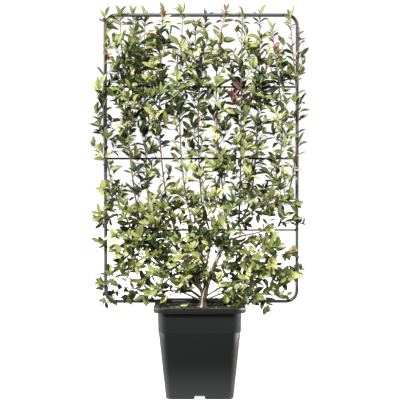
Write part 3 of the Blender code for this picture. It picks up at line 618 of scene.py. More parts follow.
def tubes_mesh(name, tubes, sides_level):
    """One mesh of round tubes through points, each point with its own radius."""
    curve = bpy.data.curves.new(name, "CURVE")
    curve.dimensions = "3D"
    curve.bevel_depth = 1.0
    curve.bevel_resolution = sides_level
    curve.use_fill_caps = True
    for points, radii in tubes:
        spline = curve.splines.new("POLY")
        spline.points.add(len(points) - 1)
        for place, point, radius in zip(spline.points, points, radii):
            place.co = (*point, 1.0)
            place.radius = radius
    holder = bpy.data.objects.new(name, curve)
    bpy.context.scene.collection.objects.link(holder)
    graph = bpy.context.evaluated_depsgraph_get()
    mesh = bpy.data.meshes.new_from_object(holder.evaluated_get(graph))
    bpy.data.objects.remove(holder, do_unlink=True)
    bpy.data.curves.remove(curve)
    mesh.name = name
    mesh.materials.clear()
    return smoothed(mesh)


# Curves of the limbs

def lean_vector(degrees):
    lean = math.radians(degrees)
    return Vector((math.sin(lean), 0.0, math.cos(lean)))


def curve_points(foot, tip, lean, step):
    """Points along the curve from foot to tip that leaves and ends at these leans."""
    reach = (tip - foot).length
    count = max(3, round(reach / step) + 1)
    start, end = (lean_vector(angle) * reach for angle in lean)
    points = []
    for i in range(count):
        t = i / (count - 1)
        points.append(
            foot * (2 * t**3 - 3 * t**2 + 1)
            + start * (t**3 - 2 * t**2 + t)
            + tip * (3 * t**2 - 2 * t**3)
            + end * (t**3 - t**2)
        )
    return points


def along_path(points, portion):
    """The point this portion of the way along a path, and the direction there."""
    lengths = [(b - a).length for a, b in zip(points, points[1:])]
    target = portion * sum(lengths)
    for a, b, run in zip(points, points[1:], lengths):
        if target <= run:
            return a.lerp(b, target / run), (b - a).normalized()
        target -= run
    return points[-1].copy(), (points[-1] - points[-2]).normalized()


def path_length(points):
    return sum((b - a).length for a, b in zip(points, points[1:]))


def tapered(foot, tip, count):
    """Radii that run evenly from foot to tip."""
    return [foot + (tip - foot) * i / (count - 1) for i in range(count)]


def trunk_curve(step_count):
    """Points and radii of the trunk, from the level cut at the soil to the fork."""
    points, radii = [], []
    for i in range(step_count + 1):
        t = i / step_count
        x, y = (a + (b - a) * t for a, b in zip(TRUNK_FOOT, TRUNK_TOP))
        points.append(Vector((x, y, SOIL_TOP + TRUNK_HEIGHT * t)))
        flare = TRUNK_FLARE * math.exp(-TRUNK_FLARE_RATE * t)
        radii.append(TRUNK_RADIUS + (TRUNK_TIP_RADIUS - TRUNK_RADIUS) * t + flare)
    return points, radii


def limb_feet():
    """Each limb's coarse path, and each bough's foot and tip, all as the solids have them."""
    paths = {"trunk": trunk_curve(6)[0]}
    ends = {}
    for bough in BOUGHS:
        foot, _ = along_path(paths[bough.parent], bough.along)
        tip = Vector((bough.tip[0], bough.lane, bough.tip[1]))
        paths[bough.name] = curve_points(foot, tip, bough.lean, BOUGH_STEP)
        ends[bough.name] = (foot, tip)
    return paths, ends


# Pot

PotRing = namedtuple("PotRing", "half z")

# The pot's small roundings, and how much wider its corners get as it widens
COLLAR_ROUND = 0.001
LIP_ROUND = 0.0015
LIP_EDGE = 0.0008
CORNER_GROWTH = 0.40


def arc_rings(half, z, radius, start, end, steps):
    """Rings along an arc about (half, z), by angles in degrees from outwards."""
    found = []
    for i in range(steps + 1):
        turn = math.radians(start + (end - start) * i / steps)
        found.append(PotRing(half + radius * math.cos(turn), z + radius * math.sin(turn)))
    return found


def pot_profile(pot):
    """The pot's section from the foot up the outside, over the lip and down the inside."""
    wall, step = pot.wall, COLLAR_ROUND
    rounding = wall * 0.8
    inner, under = pot.neck_half - wall, POT_LIP_HALF - wall
    lip_low, roof, shoulder = POT_TOP - pot.lip_height, POT_TOP - 1.4 * wall, POT_TOP - 2 * wall
    return [
        *arc_rings(pot.base_half - rounding, rounding, rounding, -90, 0, 4),
        *arc_rings(pot.body_half - step, pot.collar_low - step, step, 0, 60, 2),
        *arc_rings(pot.collar_half - step, pot.collar_low + step, step, -60, 0, 2),
        PotRing(pot.neck_half, lip_low),
        PotRing(pot.neck_half, shoulder),
        PotRing(pot.neck_half + step, roof),
        PotRing(under - step, roof),
        PotRing(under, shoulder),
        PotRing(under, lip_low + LIP_EDGE),
        *arc_rings(POT_LIP_HALF - LIP_ROUND, lip_low + LIP_ROUND, LIP_ROUND, -120, 0, 3),
        *arc_rings(POT_LIP_HALF - rounding, POT_TOP - rounding, rounding, 0, 90, 4),
        *arc_rings(inner + rounding, POT_TOP - rounding, rounding, 90, 180, 4),
        PotRing(inner, lip_low),
        PotRing(pot.body_half - wall, pot.collar_low),
        PotRing(pot.base_half - wall, pot.floor),
    ]


def corner_radius(pot, half):
    return pot.corner + CORNER_GROWTH * (half - pot.base_half)


def reshape_ring(pot, verts, old, new):
    """Moves a ring of the rounded square to another width and height."""
    old_corner, new_corner = corner_radius(pot, old.half), corner_radius(pot, new.half)
    for vert in verts:
        for axis in (0, 1):
            hand = math.copysign(1.0, vert.co[axis])
            past = vert.co[axis] - hand * (old.half - old_corner)
            vert.co[axis] = hand * (new.half - new_corner) + past * new_corner / old_corner
        vert.co.z = new.z


def rounded_square(bm, half, corner, segments):
    """The edges of one flat face at z = 0, a square with rounded corners."""
    verts = bmesh.ops.create_grid(bm, x_segments=1, y_segments=1, size=half)["verts"]
    bmesh.ops.bevel(bm, geom=verts, offset=corner, offset_type="OFFSET", segments=segments, profile=0.5,
                    affect="VERTICES", material=-1)
    return bm.faces[:][0].edges[:]


def notch_tools(pot, grow, low, inner, outer):
    """Four wedges for the drain notches, one for each side of the pot's foot."""
    tools = []
    low_half, high_half, high = pot.notch_low + grow, pot.notch_high + grow, pot.notch_height + grow
    for quarter in range(4):
        bm = bmesh.new()
        made = bmesh.ops.create_cube(bm, size=1.0)
        for vert in made["verts"]:
            top = vert.co.z > 0
            vert.co.x = math.copysign(high_half if top else low_half, vert.co.x)
            vert.co.y = -outer if vert.co.y < 0 else -inner
            vert.co.z = high if top else low
        bmesh.ops.rotate(bm, verts=bm.verts, matrix=Matrix.Rotation(math.tau * quarter / 4, 3, "Z"))
        mesh = mesh_from(bm, "notch")
        tool = bpy.data.objects.new("notch", mesh)
        bpy.context.scene.collection.objects.link(tool)
        tools.append(tool)
    return tools


def apply_boolean(mesh, tools, operation):
    """The mesh joined with all the tools at once, or cut by them."""
    holder = bpy.data.objects.new("target", mesh)
    bpy.context.scene.collection.objects.link(holder)
    group = bpy.data.collections.new("tools")
    bpy.context.scene.collection.children.link(group)
    for tool in tools:
        bpy.context.scene.collection.objects.unlink(tool)
        group.objects.link(tool)
    modifier = holder.modifiers.new("boolean", "BOOLEAN")
    modifier.operation = operation
    modifier.operand_type = "COLLECTION"
    modifier.collection = group
    graph = bpy.context.evaluated_depsgraph_get()
    result = bpy.data.meshes.new_from_object(holder.evaluated_get(graph))
    for obj in (holder, *tools):
        bpy.data.objects.remove(obj, do_unlink=True)
    bpy.data.collections.remove(group)
    return result


class PHOTINIA_OT_pot(bpy.types.Operator):
    """Makes the square pot with its collar, its turned-over lip and its drain notches"""

    bl_idname = "photinia.pot"
    bl_label = "Make the pot"

    def execute(self, context):
        pot = context.scene.photinia_pot
        rings = pot_profile(pot)
        bm = bmesh.new()
        rim = rounded_square(bm, rings[0].half, corner_radius(pot, rings[0].half), 10)
        for old, new in zip(rings, rings[1:]):
            verts, rim = extrude_rim(bm, rim)
            reshape_ring(pot, verts, old, new)
        bmesh.ops.contextual_create(bm, geom=rim)
        mesh = mesh_from(bm, "pot_shell")
        back = pot.base_half - pot.notch
        pockets = notch_tools(pot, pot.wall, pot.floor / 2, back - pot.wall, pot.base_half - pot.wall / 2)
        mesh = apply_boolean(mesh, pockets, "UNION")
        cuts = notch_tools(pot, 0.0, -pot.notch_height, back, pot.base_half + pot.notch_height)
        mesh = apply_boolean(mesh, cuts, "DIFFERENCE")
        mesh.name = "pot_shell"
        mesh.materials.clear()
        plastic = new_finish("pot_plastic", pot.plastic, (pot.gloss - 0.05, pot.gloss + 0.12),
                             Grain(900.0, 0.00006), Spots(pot.dust, 16.0, 0.30), specular=0.07)
        fade_upwards(plastic, pot.body, pot.collar_low - 0.003, pot.collar_low + 0.001)
        # Lighter towards the foot: dust, and a painted reflection of the pale floor on the plastic.
        fade_upwards(plastic, pot.foot_dust_and_floor_reflection, 0.0, pot.collar_low * 0.6)
        gloss_at_edges(plastic)
        dress("pot_shell", smoothed(mesh, sharp=40), [plastic], ["pot"])
        return {"FINISHED"}


# Soil and what lies on it

# How fine the soil's lumps and crumbs are, and how high the crumbs
LUMP_SCALE = 55.0
CRUMB_SCALE = 420.0
CRUMB_HEIGHT = 0.0008

# The gap between the soil's flanks and the pot
SOIL_GAP = 0.0006


def soil_height(soil, x, y):
    """The soil's height, a low heap with lumps and crumbs."""
    reach = max(abs(x), abs(y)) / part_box("soil")[1].x
    heap = soil.edge + (SOIL_TOP - soil.edge) * (1 - reach**2)
    lumps = noise.fractal(Vector((x, y, 0.0)) * LUMP_SCALE, 0.8, 2.1, 4)
    crumbs = noise.noise(Vector((x, y, 0.3)) * CRUMB_SCALE)
    return heap + soil.lump * 0.6 * lumps + CRUMB_HEIGHT * crumbs


class PHOTINIA_OT_soil(bpy.types.Operator):
    """Makes the soil, with a lumpy top inside the pot's wall"""

    bl_idname = "photinia.soil"
    bl_label = "Make the soil"

    def execute(self, context):
        soil, pot = context.scene.photinia_soil, context.scene.photinia_pot
        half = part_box("soil")[1].x
        corner = corner_radius(pot, half + pot.wall) - pot.wall
        straight = half - corner
        bm = bmesh.new()
        bmesh.ops.create_grid(bm, x_segments=90, y_segments=90, size=half)
        for vert in bm.verts:
            past = Vector([max(abs(vert.co[axis]) - straight, 0.0) for axis in (0, 1)])
            if min(past) > 0:
                past *= max(past) / past.length
                for axis in (0, 1):
                    vert.co[axis] = math.copysign(straight + past[axis], vert.co[axis])
            vert.co.z = soil_height(soil, vert.co.x, vert.co.y)
        rim = [edge for edge in bm.edges if edge.is_boundary]
        # The foot of the soil lies between the pockets of the drain notches.
        step = pot.notch_height + 2 * pot.wall
        inner = pot.base_half - pot.notch - 2 * pot.wall
        rings = ((pot.body_half - pot.wall, pot.collar_low), (pot.base_half - pot.wall, step), (inner, step),
                 (inner, SOIL_FLOOR))
        for wide, z in rings:
            verts, rim = extrude_rim(bm, rim)
            spread = (wide - SOIL_GAP) / max(vert.co.x for vert in verts)
            for vert in verts:
                vert.co = Vector((vert.co.x * spread, vert.co.y * spread, z))
        bmesh.ops.contextual_create(bm, geom=rim)
        # Painted shade: the earth's colour is darkened for the shade of the foliage and the pot's wall.
        earth = new_finish("soil_earth", soil.earth, (0.85, 1.0), Grain(240.0, 0.0012),
                           Spots(soil.chip, 150.0, 0.42))
        dress("soil_bed", mesh_from(bm, "soil_bed"), [earth], ["soil"])
        return {"FINISHED"}


LITTER_SEED = 7
LITTER_SPREAD = 0.97
OFF_WALL = 0.012
OFF_TRUNK = 0.002

# Sizes of bark chips and of white grains, and how high they are for that
Lump = namedtuple("Lump", "sizes flatness")
CHIP = Lump((0.0020, 0.0065), 0.45)
GRAIN = Lump((0.0010, 0.0022), 0.85)

# How the length of a chip or grain and each of its corners vary, as shares, how far it tips over,
# and how high its middle lies, as a share of its height
LITTER_LENGTHS = (0.7, 1.5)
LITTER_CORNERS = (0.72, 1.2)
LITTER_TIP = 0.6
LITTER_LIFT = 0.4

# Half the length of a straw, its bend as a share of that, its height over the soil and its radius
STRAW_REACHES = (0.010, 0.034)
STRAW_BENDS = (-0.25, 0.25)
STRAW_LIFTS = (0.0015, 0.0045)
STRAW_RADII = (0.0004, 0.0010)
STRAW_OFF_WALL = 0.004

# Part of the straw lies in a heap to the left.
STRAW_HEAP = Vector((-0.080, 0.040, 0.0))
STRAW_HEAP_SPREAD = 0.45
STRAW_HEAP_SHARE = 0.5


def scatter_place(chance, soil):
    """A random place on the soil, off the trunk."""
    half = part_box("soil")[1].x * LITTER_SPREAD - OFF_WALL
    while True:
        x, y = chance.uniform(-half, half), chance.uniform(-half, half)
        if math.dist((x, y), TRUNK_FOOT) > TRUNK_RADIUS + TRUNK_FLARE + OFF_TRUNK:
            return Vector((x, y, soil_height(soil, x, y)))


class PHOTINIA_OT_litter(bpy.types.Operator):
    """Scatters bark chips, straw and white grains over the soil"""

    bl_idname = "photinia.litter"
    bl_label = "Scatter the litter"

    def execute(self, context):
        soil = context.scene.photinia_soil
        chance = random.Random(LITTER_SEED)
        # Painted shade: every chip's colour comes from the chip colour, which is darkened for the shade over
        # the soil.
        dark, tan = scaled(soil.chip, 0.28), scaled(soil.chip, 2.2)
        finishes = [new_finish(f"chip_{name}", color, (0.8, 1.0), Grain(500.0, 0.0004), Spots(spots, 300.0))
                    for name, color, spots in (("brown", soil.chip, dark), ("dark", dark, soil.chip),
                                               ("tan", tan, soil.chip))]
        chips = self.scattered(chance, soil, soil.chips, CHIP, len(finishes))
        dress("soil_chips", chips.mesh("soil_chips", sharp=30), finishes)
        white = new_finish("white_grain", (0.75, 0.74, 0.70), (0.7, 0.95), Grain(900.0, 0.0003))
        grains = self.scattered(chance, soil, soil.grains, GRAIN, 1)
        dress("soil_grains", grains.mesh("soil_grains"), [white])
        self.scatter_straw(chance, soil)
        return {"FINISHED"}

    def scattered(self, chance, soil, count, kind, tints):
        """Lumps of one kind, each of a random size and shape, in one of so many finishes."""
        bm = bmesh.new()
        bmesh.ops.create_icosphere(bm, subdivisions=1, radius=1.0)
        lump, faces, _ = corners_and_faces(bm)
        pile = Pile()
        for _ in range(count):
            place = scatter_place(chance, soil)
            size = chance.uniform(*kind.sizes)
            high = size * kind.flatness
            stretch = np.array([size * chance.uniform(*LITTER_LENGTHS), size, high])
            jitter = np.array([[chance.uniform(*LITTER_CORNERS)] for _ in lump])
            turn = np.array(Matrix.Rotation(chance.uniform(0, math.tau), 3, "Z")
                            @ Matrix.Rotation(chance.uniform(-LITTER_TIP, LITTER_TIP), 3, "X"))
            corners = (lump * jitter * stretch) @ turn.T + np.array(place) + [0, 0, high * LITTER_LIFT]
            tint = chance.randrange(tints) if tints > 1 else 0
            pile.add(corners, faces, [tint] * len(faces))
        return pile

    def scatter_straw(self, chance, soil):
        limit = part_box("soil")[1].x - STRAW_OFF_WALL
        tubes = []
        for _ in range(soil.straws):
            place = scatter_place(chance, soil)
            if chance.random() < STRAW_HEAP_SHARE:
                place = place * STRAW_HEAP_SPREAD + STRAW_HEAP
            heading = chance.uniform(0, math.tau)
            run = Vector((math.cos(heading), math.sin(heading), 0.0)) * chance.uniform(*STRAW_REACHES)
            side = Vector((-run.y, run.x, 0.0)) * chance.uniform(*STRAW_BENDS)
            lift = Vector((0, 0, chance.uniform(*STRAW_LIFTS)))
            points = []
            for t in (-1.0, -0.5, 0.0, 0.5, 1.0):
                spot = place + run * t + side * (1 - t * t)
                spot.x = max(-limit, min(limit, spot.x))
                spot.y = max(-limit, min(limit, spot.y))
                spot.z = soil_height(soil, spot.x, spot.y)
                points.append(spot + lift * (1 + 0.5 * t))
            size = chance.uniform(*STRAW_RADII)
            tubes.append((points, [size, size, size, size, size * 0.5]))
        straw = new_finish("straw", soil.straw, (0.6, 0.85), Grain(700.0, 0.0002),
                           Spots(scaled(soil.straw, 1.4), 120.0))
        dress("soil_straw", tubes_mesh("soil_straw", tubes, 0), [straw])


# Tube frame

class PHOTINIA_OT_tube_frame(bpy.types.Operator):
    """Bends the round tube into one closed rectangle, and welds the thin rods across it"""

    bl_idname = "photinia.tube_frame"
    bl_label = "Make the tube frame"

    def execute(self, context):
        tube = context.scene.photinia_tube
        self.bend_tube(tube)
        self.weld_rods(tube)
        return {"FINISHED"}

    def bend_tube(self, tube):
        bend = tube.bend
        bm = bmesh.new()
        start = Matrix.Translation((FRAME_LEFT, 0.0, FRAME_BOTTOM + bend))
        bmesh.ops.create_circle(bm, cap_ends=False, segments=28, radius=TUBE_RADIUS, matrix=start)
        ring = bm.edges[:]
        tall, wide = FRAME_TOP - FRAME_BOTTOM - 2 * bend, FRAME_RIGHT - FRAME_LEFT - 2 * bend
        left, right = FRAME_LEFT + bend, FRAME_RIGHT - bend
        low, high = FRAME_BOTTOM + bend, FRAME_TOP - bend
        sides = (
            ((0, 0, tall), (left, 0, high)), ((wide, 0, 0), (right, 0, high)),
            ((0, 0, -tall), (right, 0, low)), ((-wide, 0, 0), (left, 0, low)),
        )
        for run, centre in sides:
            verts, ring = extrude_rim(bm, ring)
            bmesh.ops.translate(bm, verts=verts, vec=run)
            spun = bmesh.ops.spin(bm, geom=ring, cent=centre, axis=(0, 1, 0), angle=math.tau / 4, steps=10,
                                  use_duplicate=False)
            _, ring = vertices_and_edges(spun["geom_last"])
        bmesh.ops.remove_doubles(bm, verts=bm.verts, dist=0.0001)
        paint = new_finish("tube_paint", tube.paint, (0.28, 0.42), Grain(700.0, 0.00005),
                           Spots(scaled(tube.paint, 0.55), 24.0, 0.36), metallic=0.35)
        # Painted shade: the tube darkens towards its lowest stretch, as in the foliage's shade.
        fade_upwards(paint, tube.painted_low_shade, FRAME_BOTTOM, FRAME_BOTTOM + 2 * tube.bend)
        posts = ["frame_left_post", "frame_right_post", "frame_bottom_rail", "frame_top_rail"]
        dress("bent_tube", mesh_from(bm, "bent_tube"), [paint], posts)

    def weld_rods(self, tube):
        middle, reach = (FRAME_LEFT + FRAME_RIGHT) / 2, FRAME_RIGHT - FRAME_LEFT - TUBE_RADIUS
        pile = Pile()
        for rod in RODS:
            low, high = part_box(rod)
            z = (low.z + high.z) / 2
            bm = bmesh.new()
            place = Matrix.Translation((middle, 0.0, z)) @ Matrix.Rotation(math.tau / 4, 4, "Y")
            bmesh.ops.create_cone(bm, cap_ends=True, segments=16, radius1=tube.rod_radius,
                                  radius2=tube.rod_radius, depth=reach, matrix=place)
            pile.add_bmesh(bm)
            for x in (FRAME_LEFT + TUBE_RADIUS, FRAME_RIGHT - TUBE_RADIUS):
                bm = bmesh.new()
                place = Matrix.Translation((x, 0.0, z)) @ Matrix.Diagonal((0.6, 1, 1, 1))
                bmesh.ops.create_uvsphere(bm, u_segments=14, v_segments=8, radius=tube.weld, matrix=place)
                pile.add_bmesh(bm)
        wire = new_finish("rod_wire", tube.wire, (0.60, 0.80), Grain(500.0, 0.0001),
                          Spots(scaled(tube.wire, 1.8), 40.0, 0.3), specular=0.08)
        dress("thin_rods", pile.mesh("thin_rods", sharp=60), [wire], RODS)


# Trunk and boughs with bark

THICK_LIMBS = ("trunk", "bough_right_leader", "bough_right_arm", "bough_upright")

# Rings along the trunk, sides of the trunk, of thick boughs and of thin ones, and how much deeper the
# trunk's relief is
TRUNK_RINGS = 24
TRUNK_SIDES = 28
THICK_SIDES = 18
THIN_SIDES = 10
TRUNK_RELIEF = 1.2

# The bark's ridges round and along a limb, and its knots: how fine they are, and their share of the
# relief
RIDGES_ROUND = 3.2
RIDGES_ALONG = 26.0
RIDGE_SHARE = 0.9
KNOT_SCALE = 130.0
KNOT_SHARE = 0.7

# Swellings where leaves grew: how far apart they are, and how thick as a share of the radius
SWELLING_STEP = 0.031
SWELLING = 0.16

# The collar at a bough's foot: how thick, as a share, and how many radii long
COLLAR = 0.45
COLLAR_LENGTH = 2.6


def ring_matrix(points, radii, i, side):
    """Where the i-th ring of a limb lies: centre, axes and radius, from a ring of radius 1."""
    ahead = (points[min(i + 1, len(points) - 1)] - points[max(i - 1, 0)]).normalized()
    side = (side - ahead * side.dot(ahead)).normalized()
    axes = Matrix((side, ahead.cross(side), ahead)).transposed().to_4x4()
    return Matrix.Translation(points[i]) @ axes @ Matrix.Scale(radii[i], 4)


def limb_bmesh(points, radii, sides):
    """A closed limb, extruded ring by ring along its path. Returns it and its rings of vertices."""
    bm = bmesh.new()
    side = Vector((1, 0, 0)) if abs((points[1] - points[0]).normalized().x) < 0.7 else Vector((0, 0, 1))
    here = ring_matrix(points, radii, 0, side)
    rings = [bmesh.ops.create_circle(bm, cap_ends=False, segments=sides, radius=1.0, matrix=here)["verts"]]
    rim = bm.edges[:]
    for i in range(1, len(points)):
        after = ring_matrix(points, radii, i, side)
        verts, rim = extrude_rim(bm, rim)
        bmesh.ops.transform(bm, matrix=after @ here.inverted(), verts=verts)
        rings.append(verts)
        here = after
    bmesh.ops.holes_fill(bm, edges=[edge for edge in bm.edges if edge.is_boundary], sides=0)
    return bm, rings


def add_bark(rings, points, radii, relief):
    """Moves each ring's vertices for bark, and gives each vertex its place for the bark's pattern."""
    grain = {}
    gone = 0.0
    for i, (ring, centre, radius) in enumerate(zip(rings, points, radii)):
        gone += (centre - points[i - 1]).length if i else 0.0
        swelling = max(0.0, math.cos(math.tau * gone / SWELLING_STEP)) ** 8
        for vert in ring:
            out = (vert.co - centre).normalized()
            ridges = noise.fractal(out * RIDGES_ROUND + Vector((0, 0, gone * RIDGES_ALONG)), 0.7, 2.0, 3)
            knots = noise.noise(vert.co * KNOT_SCALE)
            rough = relief * (RIDGE_SHARE * ridges + KNOT_SHARE * knots)
            vert.co += out * radius * (rough + SWELLING * swelling)
            grain[vert] = (out.x * 0.5 + centre.x * 3, out.y * 0.5, gone * 4.0 + out.z * 0.5)
    return grain


def bough_radii(bough, count, reach):
    """Tapering radii, with a collar where the bough leaves its parent."""
    radii = []
    for i in range(count):
        t = i / (count - 1)
        radius = bough.radii[0] + (bough.radii[1] - bough.radii[0]) * t
        collar = COLLAR * math.exp(-t * reach / (COLLAR_LENGTH * bough.radii[0]))
        radii.append(radius * (1.0 + collar))
    return radii


def rounded_off(points, radii):
    """Goes on past a limb's end in a dome, so that no flat cut shows where it forks."""
    ahead = (points[-1] - points[-2]).normalized()
    dome = [math.radians(angle) for angle in (28, 52, 74)]
    points = points + [points[-1] + ahead * radii[-1] * 0.8 * math.sin(angle) for angle in dome]
    return points, radii + [radii[-1] * math.cos(angle) for angle in dome]


class PHOTINIA_OT_limbs(bpy.types.Operator):
    """Makes the trunk and the boughs, with the bark's relief"""

    bl_idname = "photinia.limbs"
    bl_label = "Make the trunk and boughs"

    def execute(self, context):
        limb = context.scene.photinia_limb
        piles = {"old": Pile(), "young": Pile()}
        self.add_limb(piles["old"], *trunk_curve(TRUNK_RINGS), TRUNK_SIDES, limb.relief * TRUNK_RELIEF)
        _, ends = limb_feet()
        for bough in BOUGHS:
            foot, tip = ends[bough.name]
            points = curve_points(foot, tip, bough.lean, limb.ring_step)
            radii = bough_radii(bough, len(points), path_length(points))
            thick = bough.name in THICK_LIMBS
            sides = THICK_SIDES if thick else THIN_SIDES
            self.add_limb(piles["old" if thick else "young"], points, radii, sides, limb.relief)
        old = new_finish("old_bark", limb.old_bark, (0.70, 0.95), Grain(60.0, 0.0009),
                         Spots(limb.old_cracks, 4.6, 0.44, 0.08), attribute="grain")
        young = new_finish("young_bark", limb.young_bark, (0.55, 0.85), Grain(60.0, 0.0004),
                           Spots(limb.young_cracks, 9.0, 0.38, 0.10), attribute="grain")
        thin = [bough.name for bough in BOUGHS if bough.name not in THICK_LIMBS]
        dress("thick_limbs", piles["old"].mesh("thick_limbs"), [old], THICK_LIMBS)
        dress("thin_limbs", piles["young"].mesh("thin_limbs"), [young], thin)
        return {"FINISHED"}

    def add_limb(self, pile, points, radii, sides, relief):
        points, radii = rounded_off(points, radii)
        bm, rings = limb_bmesh(points, radii, sides)
        grain = add_bark(rings, points, radii, relief)
        pile.add_bmesh(bm, grain=np.array([grain[vert] for vert in bm.verts]))


# The room that each mass of foliage keeps to

class Segments:
    """Distances from points to a set of paths, each the nearest of its segments."""

    def __init__(self, paths):
        starts, runs, first = [], [], []
        for path in paths:
            first.append(len(starts))
            starts += [tuple(a) for a in path[:-1]]
            runs += [tuple(b - a) for a, b in zip(path, path[1:])]
        self.starts = np.array(starts)
        self.runs = np.array(runs)
        self.squares = (self.runs**2).sum(1)
        self.first = np.array(first)

    def distances(self, points):
        """One row for each point, with its distance to each path."""
        off = points[:, None, :] - self.starts[None]
        portion = np.clip((off * self.runs[None]).sum(2) / self.squares, 0.0, 1.0)
        away = np.linalg.norm(off - portion[..., None] * self.runs[None], axis=2)
        return np.minimum.reduceat(away, self.first, axis=1)


class Room:
    """The space of each mass of foliage, the hard parts it stays off, and what already fills it."""

    CELL = 0.08

    def __init__(self, shoots):
        self.names = list(shoots)
        paths, owners = [], []
        for name, mass_shoots in shoots.items():
            for path in mass_shoots:
                paths.append(path)
                owners.append(self.names.index(name))
        self.owners = np.array(owners)
        self.segments = Segments(paths)
        self.signs = np.where(self.owners % 2, 1.0, -1.0)
        self.hard = self.hard_tree()
        self.cells = defaultdict(list)

    def hard_tree(self):
        bm = bmesh.new()
        for name, node in frame["nodes"].items():
            if not name.startswith("foliage"):
                bm.from_mesh(node.data)
        tree = BVHTree.FromBMesh(bm)
        bm.free()
        return tree

    def holds(self, name, points):
        """Whether every point is inside the limits, and is nearest to this mass or just past that.

        What grows from a bough, with no mass named, only keeps to the limits.
        """
        points = np.array([tuple(point) for point in points])
        if (points < LOW_CORNER).any() or (points > HIGH_CORNER).any():
            return False
        if name is None:
            return True
        away = self.segments.distances(points)
        away -= SWAY * self.signs * np.sin(math.tau * points[:, 2:3] / SWAY_PITCH)
        own = self.owners == self.names.index(name)
        return bool((away[:, own].min(1) - OVERLAP < away[:, ~own].min(1)).all())

    def cell(self, point):
        return tuple(math.floor(value / self.CELL) for value in point)

    def free(self, tree, middle, owner):
        """Whether a piece stays off the hard parts and off what has grown, but for its owner."""
        if tree.overlap(self.hard):
            return False
        x, y, z = self.cell(middle)
        for i in (x - 1, x, x + 1):
            for j in (y - 1, y, y + 1):
                for k in (z - 1, z, z + 1):
                    for other, carrier in self.cells.get((i, j, k), ()):
                        if carrier != owner and tree.overlap(other):
                            return False
        return True

    def fill(self, tree, middle, owner):
        self.cells[self.cell(middle)].append((tree, owner))


def fullness_at(point):
    """How full the crown is at a place, and how deep in the shade it is, a shade that is painted into the
    leaves' colours.
    """
    heights, fulls, shades = zip(*HEIGHTS)
    full = float(np.interp(point.z, heights, fulls)) * float(np.interp(point.x, *zip(*ACROSS)))
    shade = float(np.interp(point.z, heights, shades))
    for patch in PATCHES:
        near = math.exp(-((point.x - patch.x) ** 2 + (point.z - patch.z) ** 2) / patch.reach**2)
        full += patch.fullness * near
        shade += patch.shade * near
    return max(0.0, full), max(-1.0, min(1.0, shade))


# Leaves

# Places along a leaf where it has a row of corners, half the rib's width, and the leaf's thickness,
# all as shares of its length
LEAF_STATIONS = (0.0, 0.06, 0.18, 0.34, 0.52, 0.70, 0.86, 1.0)
LEAF_RIB_HALF = 0.055
LEAF_THICKNESS = 0.018


def leaf_outline(along):
    """Half the leaf's width at a portion of its length, as a portion of the widest half."""
    return math.sin(math.pi * along**0.98) ** 0.66 * (1.0 - 0.20 * along**4)


def leaf_template(fold, arch, curl):
    """A leaf 1 long and 1 wide: its upper side, its rib and its under side, closed at the margin."""
    bm = bmesh.new()
    rows = len(LEAF_STATIONS) - 1
    bmesh.ops.create_grid(bm, x_segments=3, y_segments=rows, size=1.0)
    for vert in bm.verts:
        along = LEAF_STATIONS[round((vert.co.y + 1) / 2 * rows)]
        hand = math.copysign(1.0, vert.co.x)
        wide = 0.0 if along in (0.0, 1.0) else leaf_outline(along)
        margin = abs(vert.co.x) > 0.5
        across = wide / 2 if margin else min(wide / 2, LEAF_RIB_HALF * (1.15 - along))
        dip = -arch * along**2 + curl * math.sin(math.pi * along)
        vert.co = Vector((hand * across, along, dip + fold * across))
    for face in bm.faces:
        face.material_index = 2 if abs(face.calc_center_median().x) < 0.001 else 0
    under = bmesh.ops.duplicate(bm, geom=bm.faces[:] + bm.verts[:] + bm.edges[:])["geom"]
    below, _ = vertices_and_edges(under)
    faces = [part for part in under if isinstance(part, bmesh.types.BMFace)]
    bmesh.ops.reverse_faces(bm, faces=faces)
    for vert in below:
        along, across = vert.co.y, abs(vert.co.x)
        if 0.0 < along < 1.0 and across < leaf_outline(along) / 2 - 0.001:
            vert.co.z -= LEAF_THICKNESS
    for face in faces:
        face.material_index = 1
    bmesh.ops.remove_doubles(bm, verts=bm.verts, dist=0.0005)
    bmesh.ops.dissolve_degenerate(bm, edges=bm.edges, dist=0.0002)
    return corners_and_faces(bm)


def leaf_kind(point):
    """Low leaves are small and broad, and those at the top are long."""
    if point.z < LOW_LEAVES_BELOW:
        return LOW_LEAF
    return TOP_LEAF if point.z > TOP_LEAVES_ABOVE else GROWN_LEAF


# Fold along the rib, arch along the length and curl of each shape of leaf
LEAF_SHAPES = ((0.10, 0.10, 0.02), (0.22, 0.16, 0.05), (0.30, 0.05, -0.03), (0.16, 0.28, 0.06))

# How many times a leaf or a twig is tried at a place before that stays bare, how far a try turns it
# either way, and how long the sticks are at most that stand for a stem while room is sought
TRIES = 5
TRY_TURN = 1.0
LONGEST_STICK = 0.05

# A leaf's angles to its stem, in degrees: along a twig, at its tip, among the young ones there, and
# straight on a shoot, and how far it rolls about its length either way
ALONG_TWIG = (42.0, 78.0)
AT_TIP = (24.0, 64.0)
AMONG_YOUNG = (8.0, 26.0)
ON_SHOOT = (38.0, 70.0)
LEAF_ROLL = 26.0

# Radii of a leaf's stalk, how far it runs on in the leaf, as a share of the leaf's length, and the
# length of a leaf whose stalk has the full length
STALK_RADII = (0.0010, 0.0006)
STALK_OVERLAP = 0.05
FULL_LEAF = 0.06

# Where along it a leaf is widest, and how far its tip bends down, as shares of its length
WIDEST_AT = 0.55
TIP_DROP = 0.08

# In a spray, leaves past the first place can be a tone younger and those before the second a tone
# older, with these chances, and a spray in other colours than green has them past the third place
YOUNGER_FROM = 0.8
YOUNGER_SHARE = 0.55
OLDER_BEFORE = 0.5
OLDER_SHARE = 0.4
TINTED_FROM = 0.55

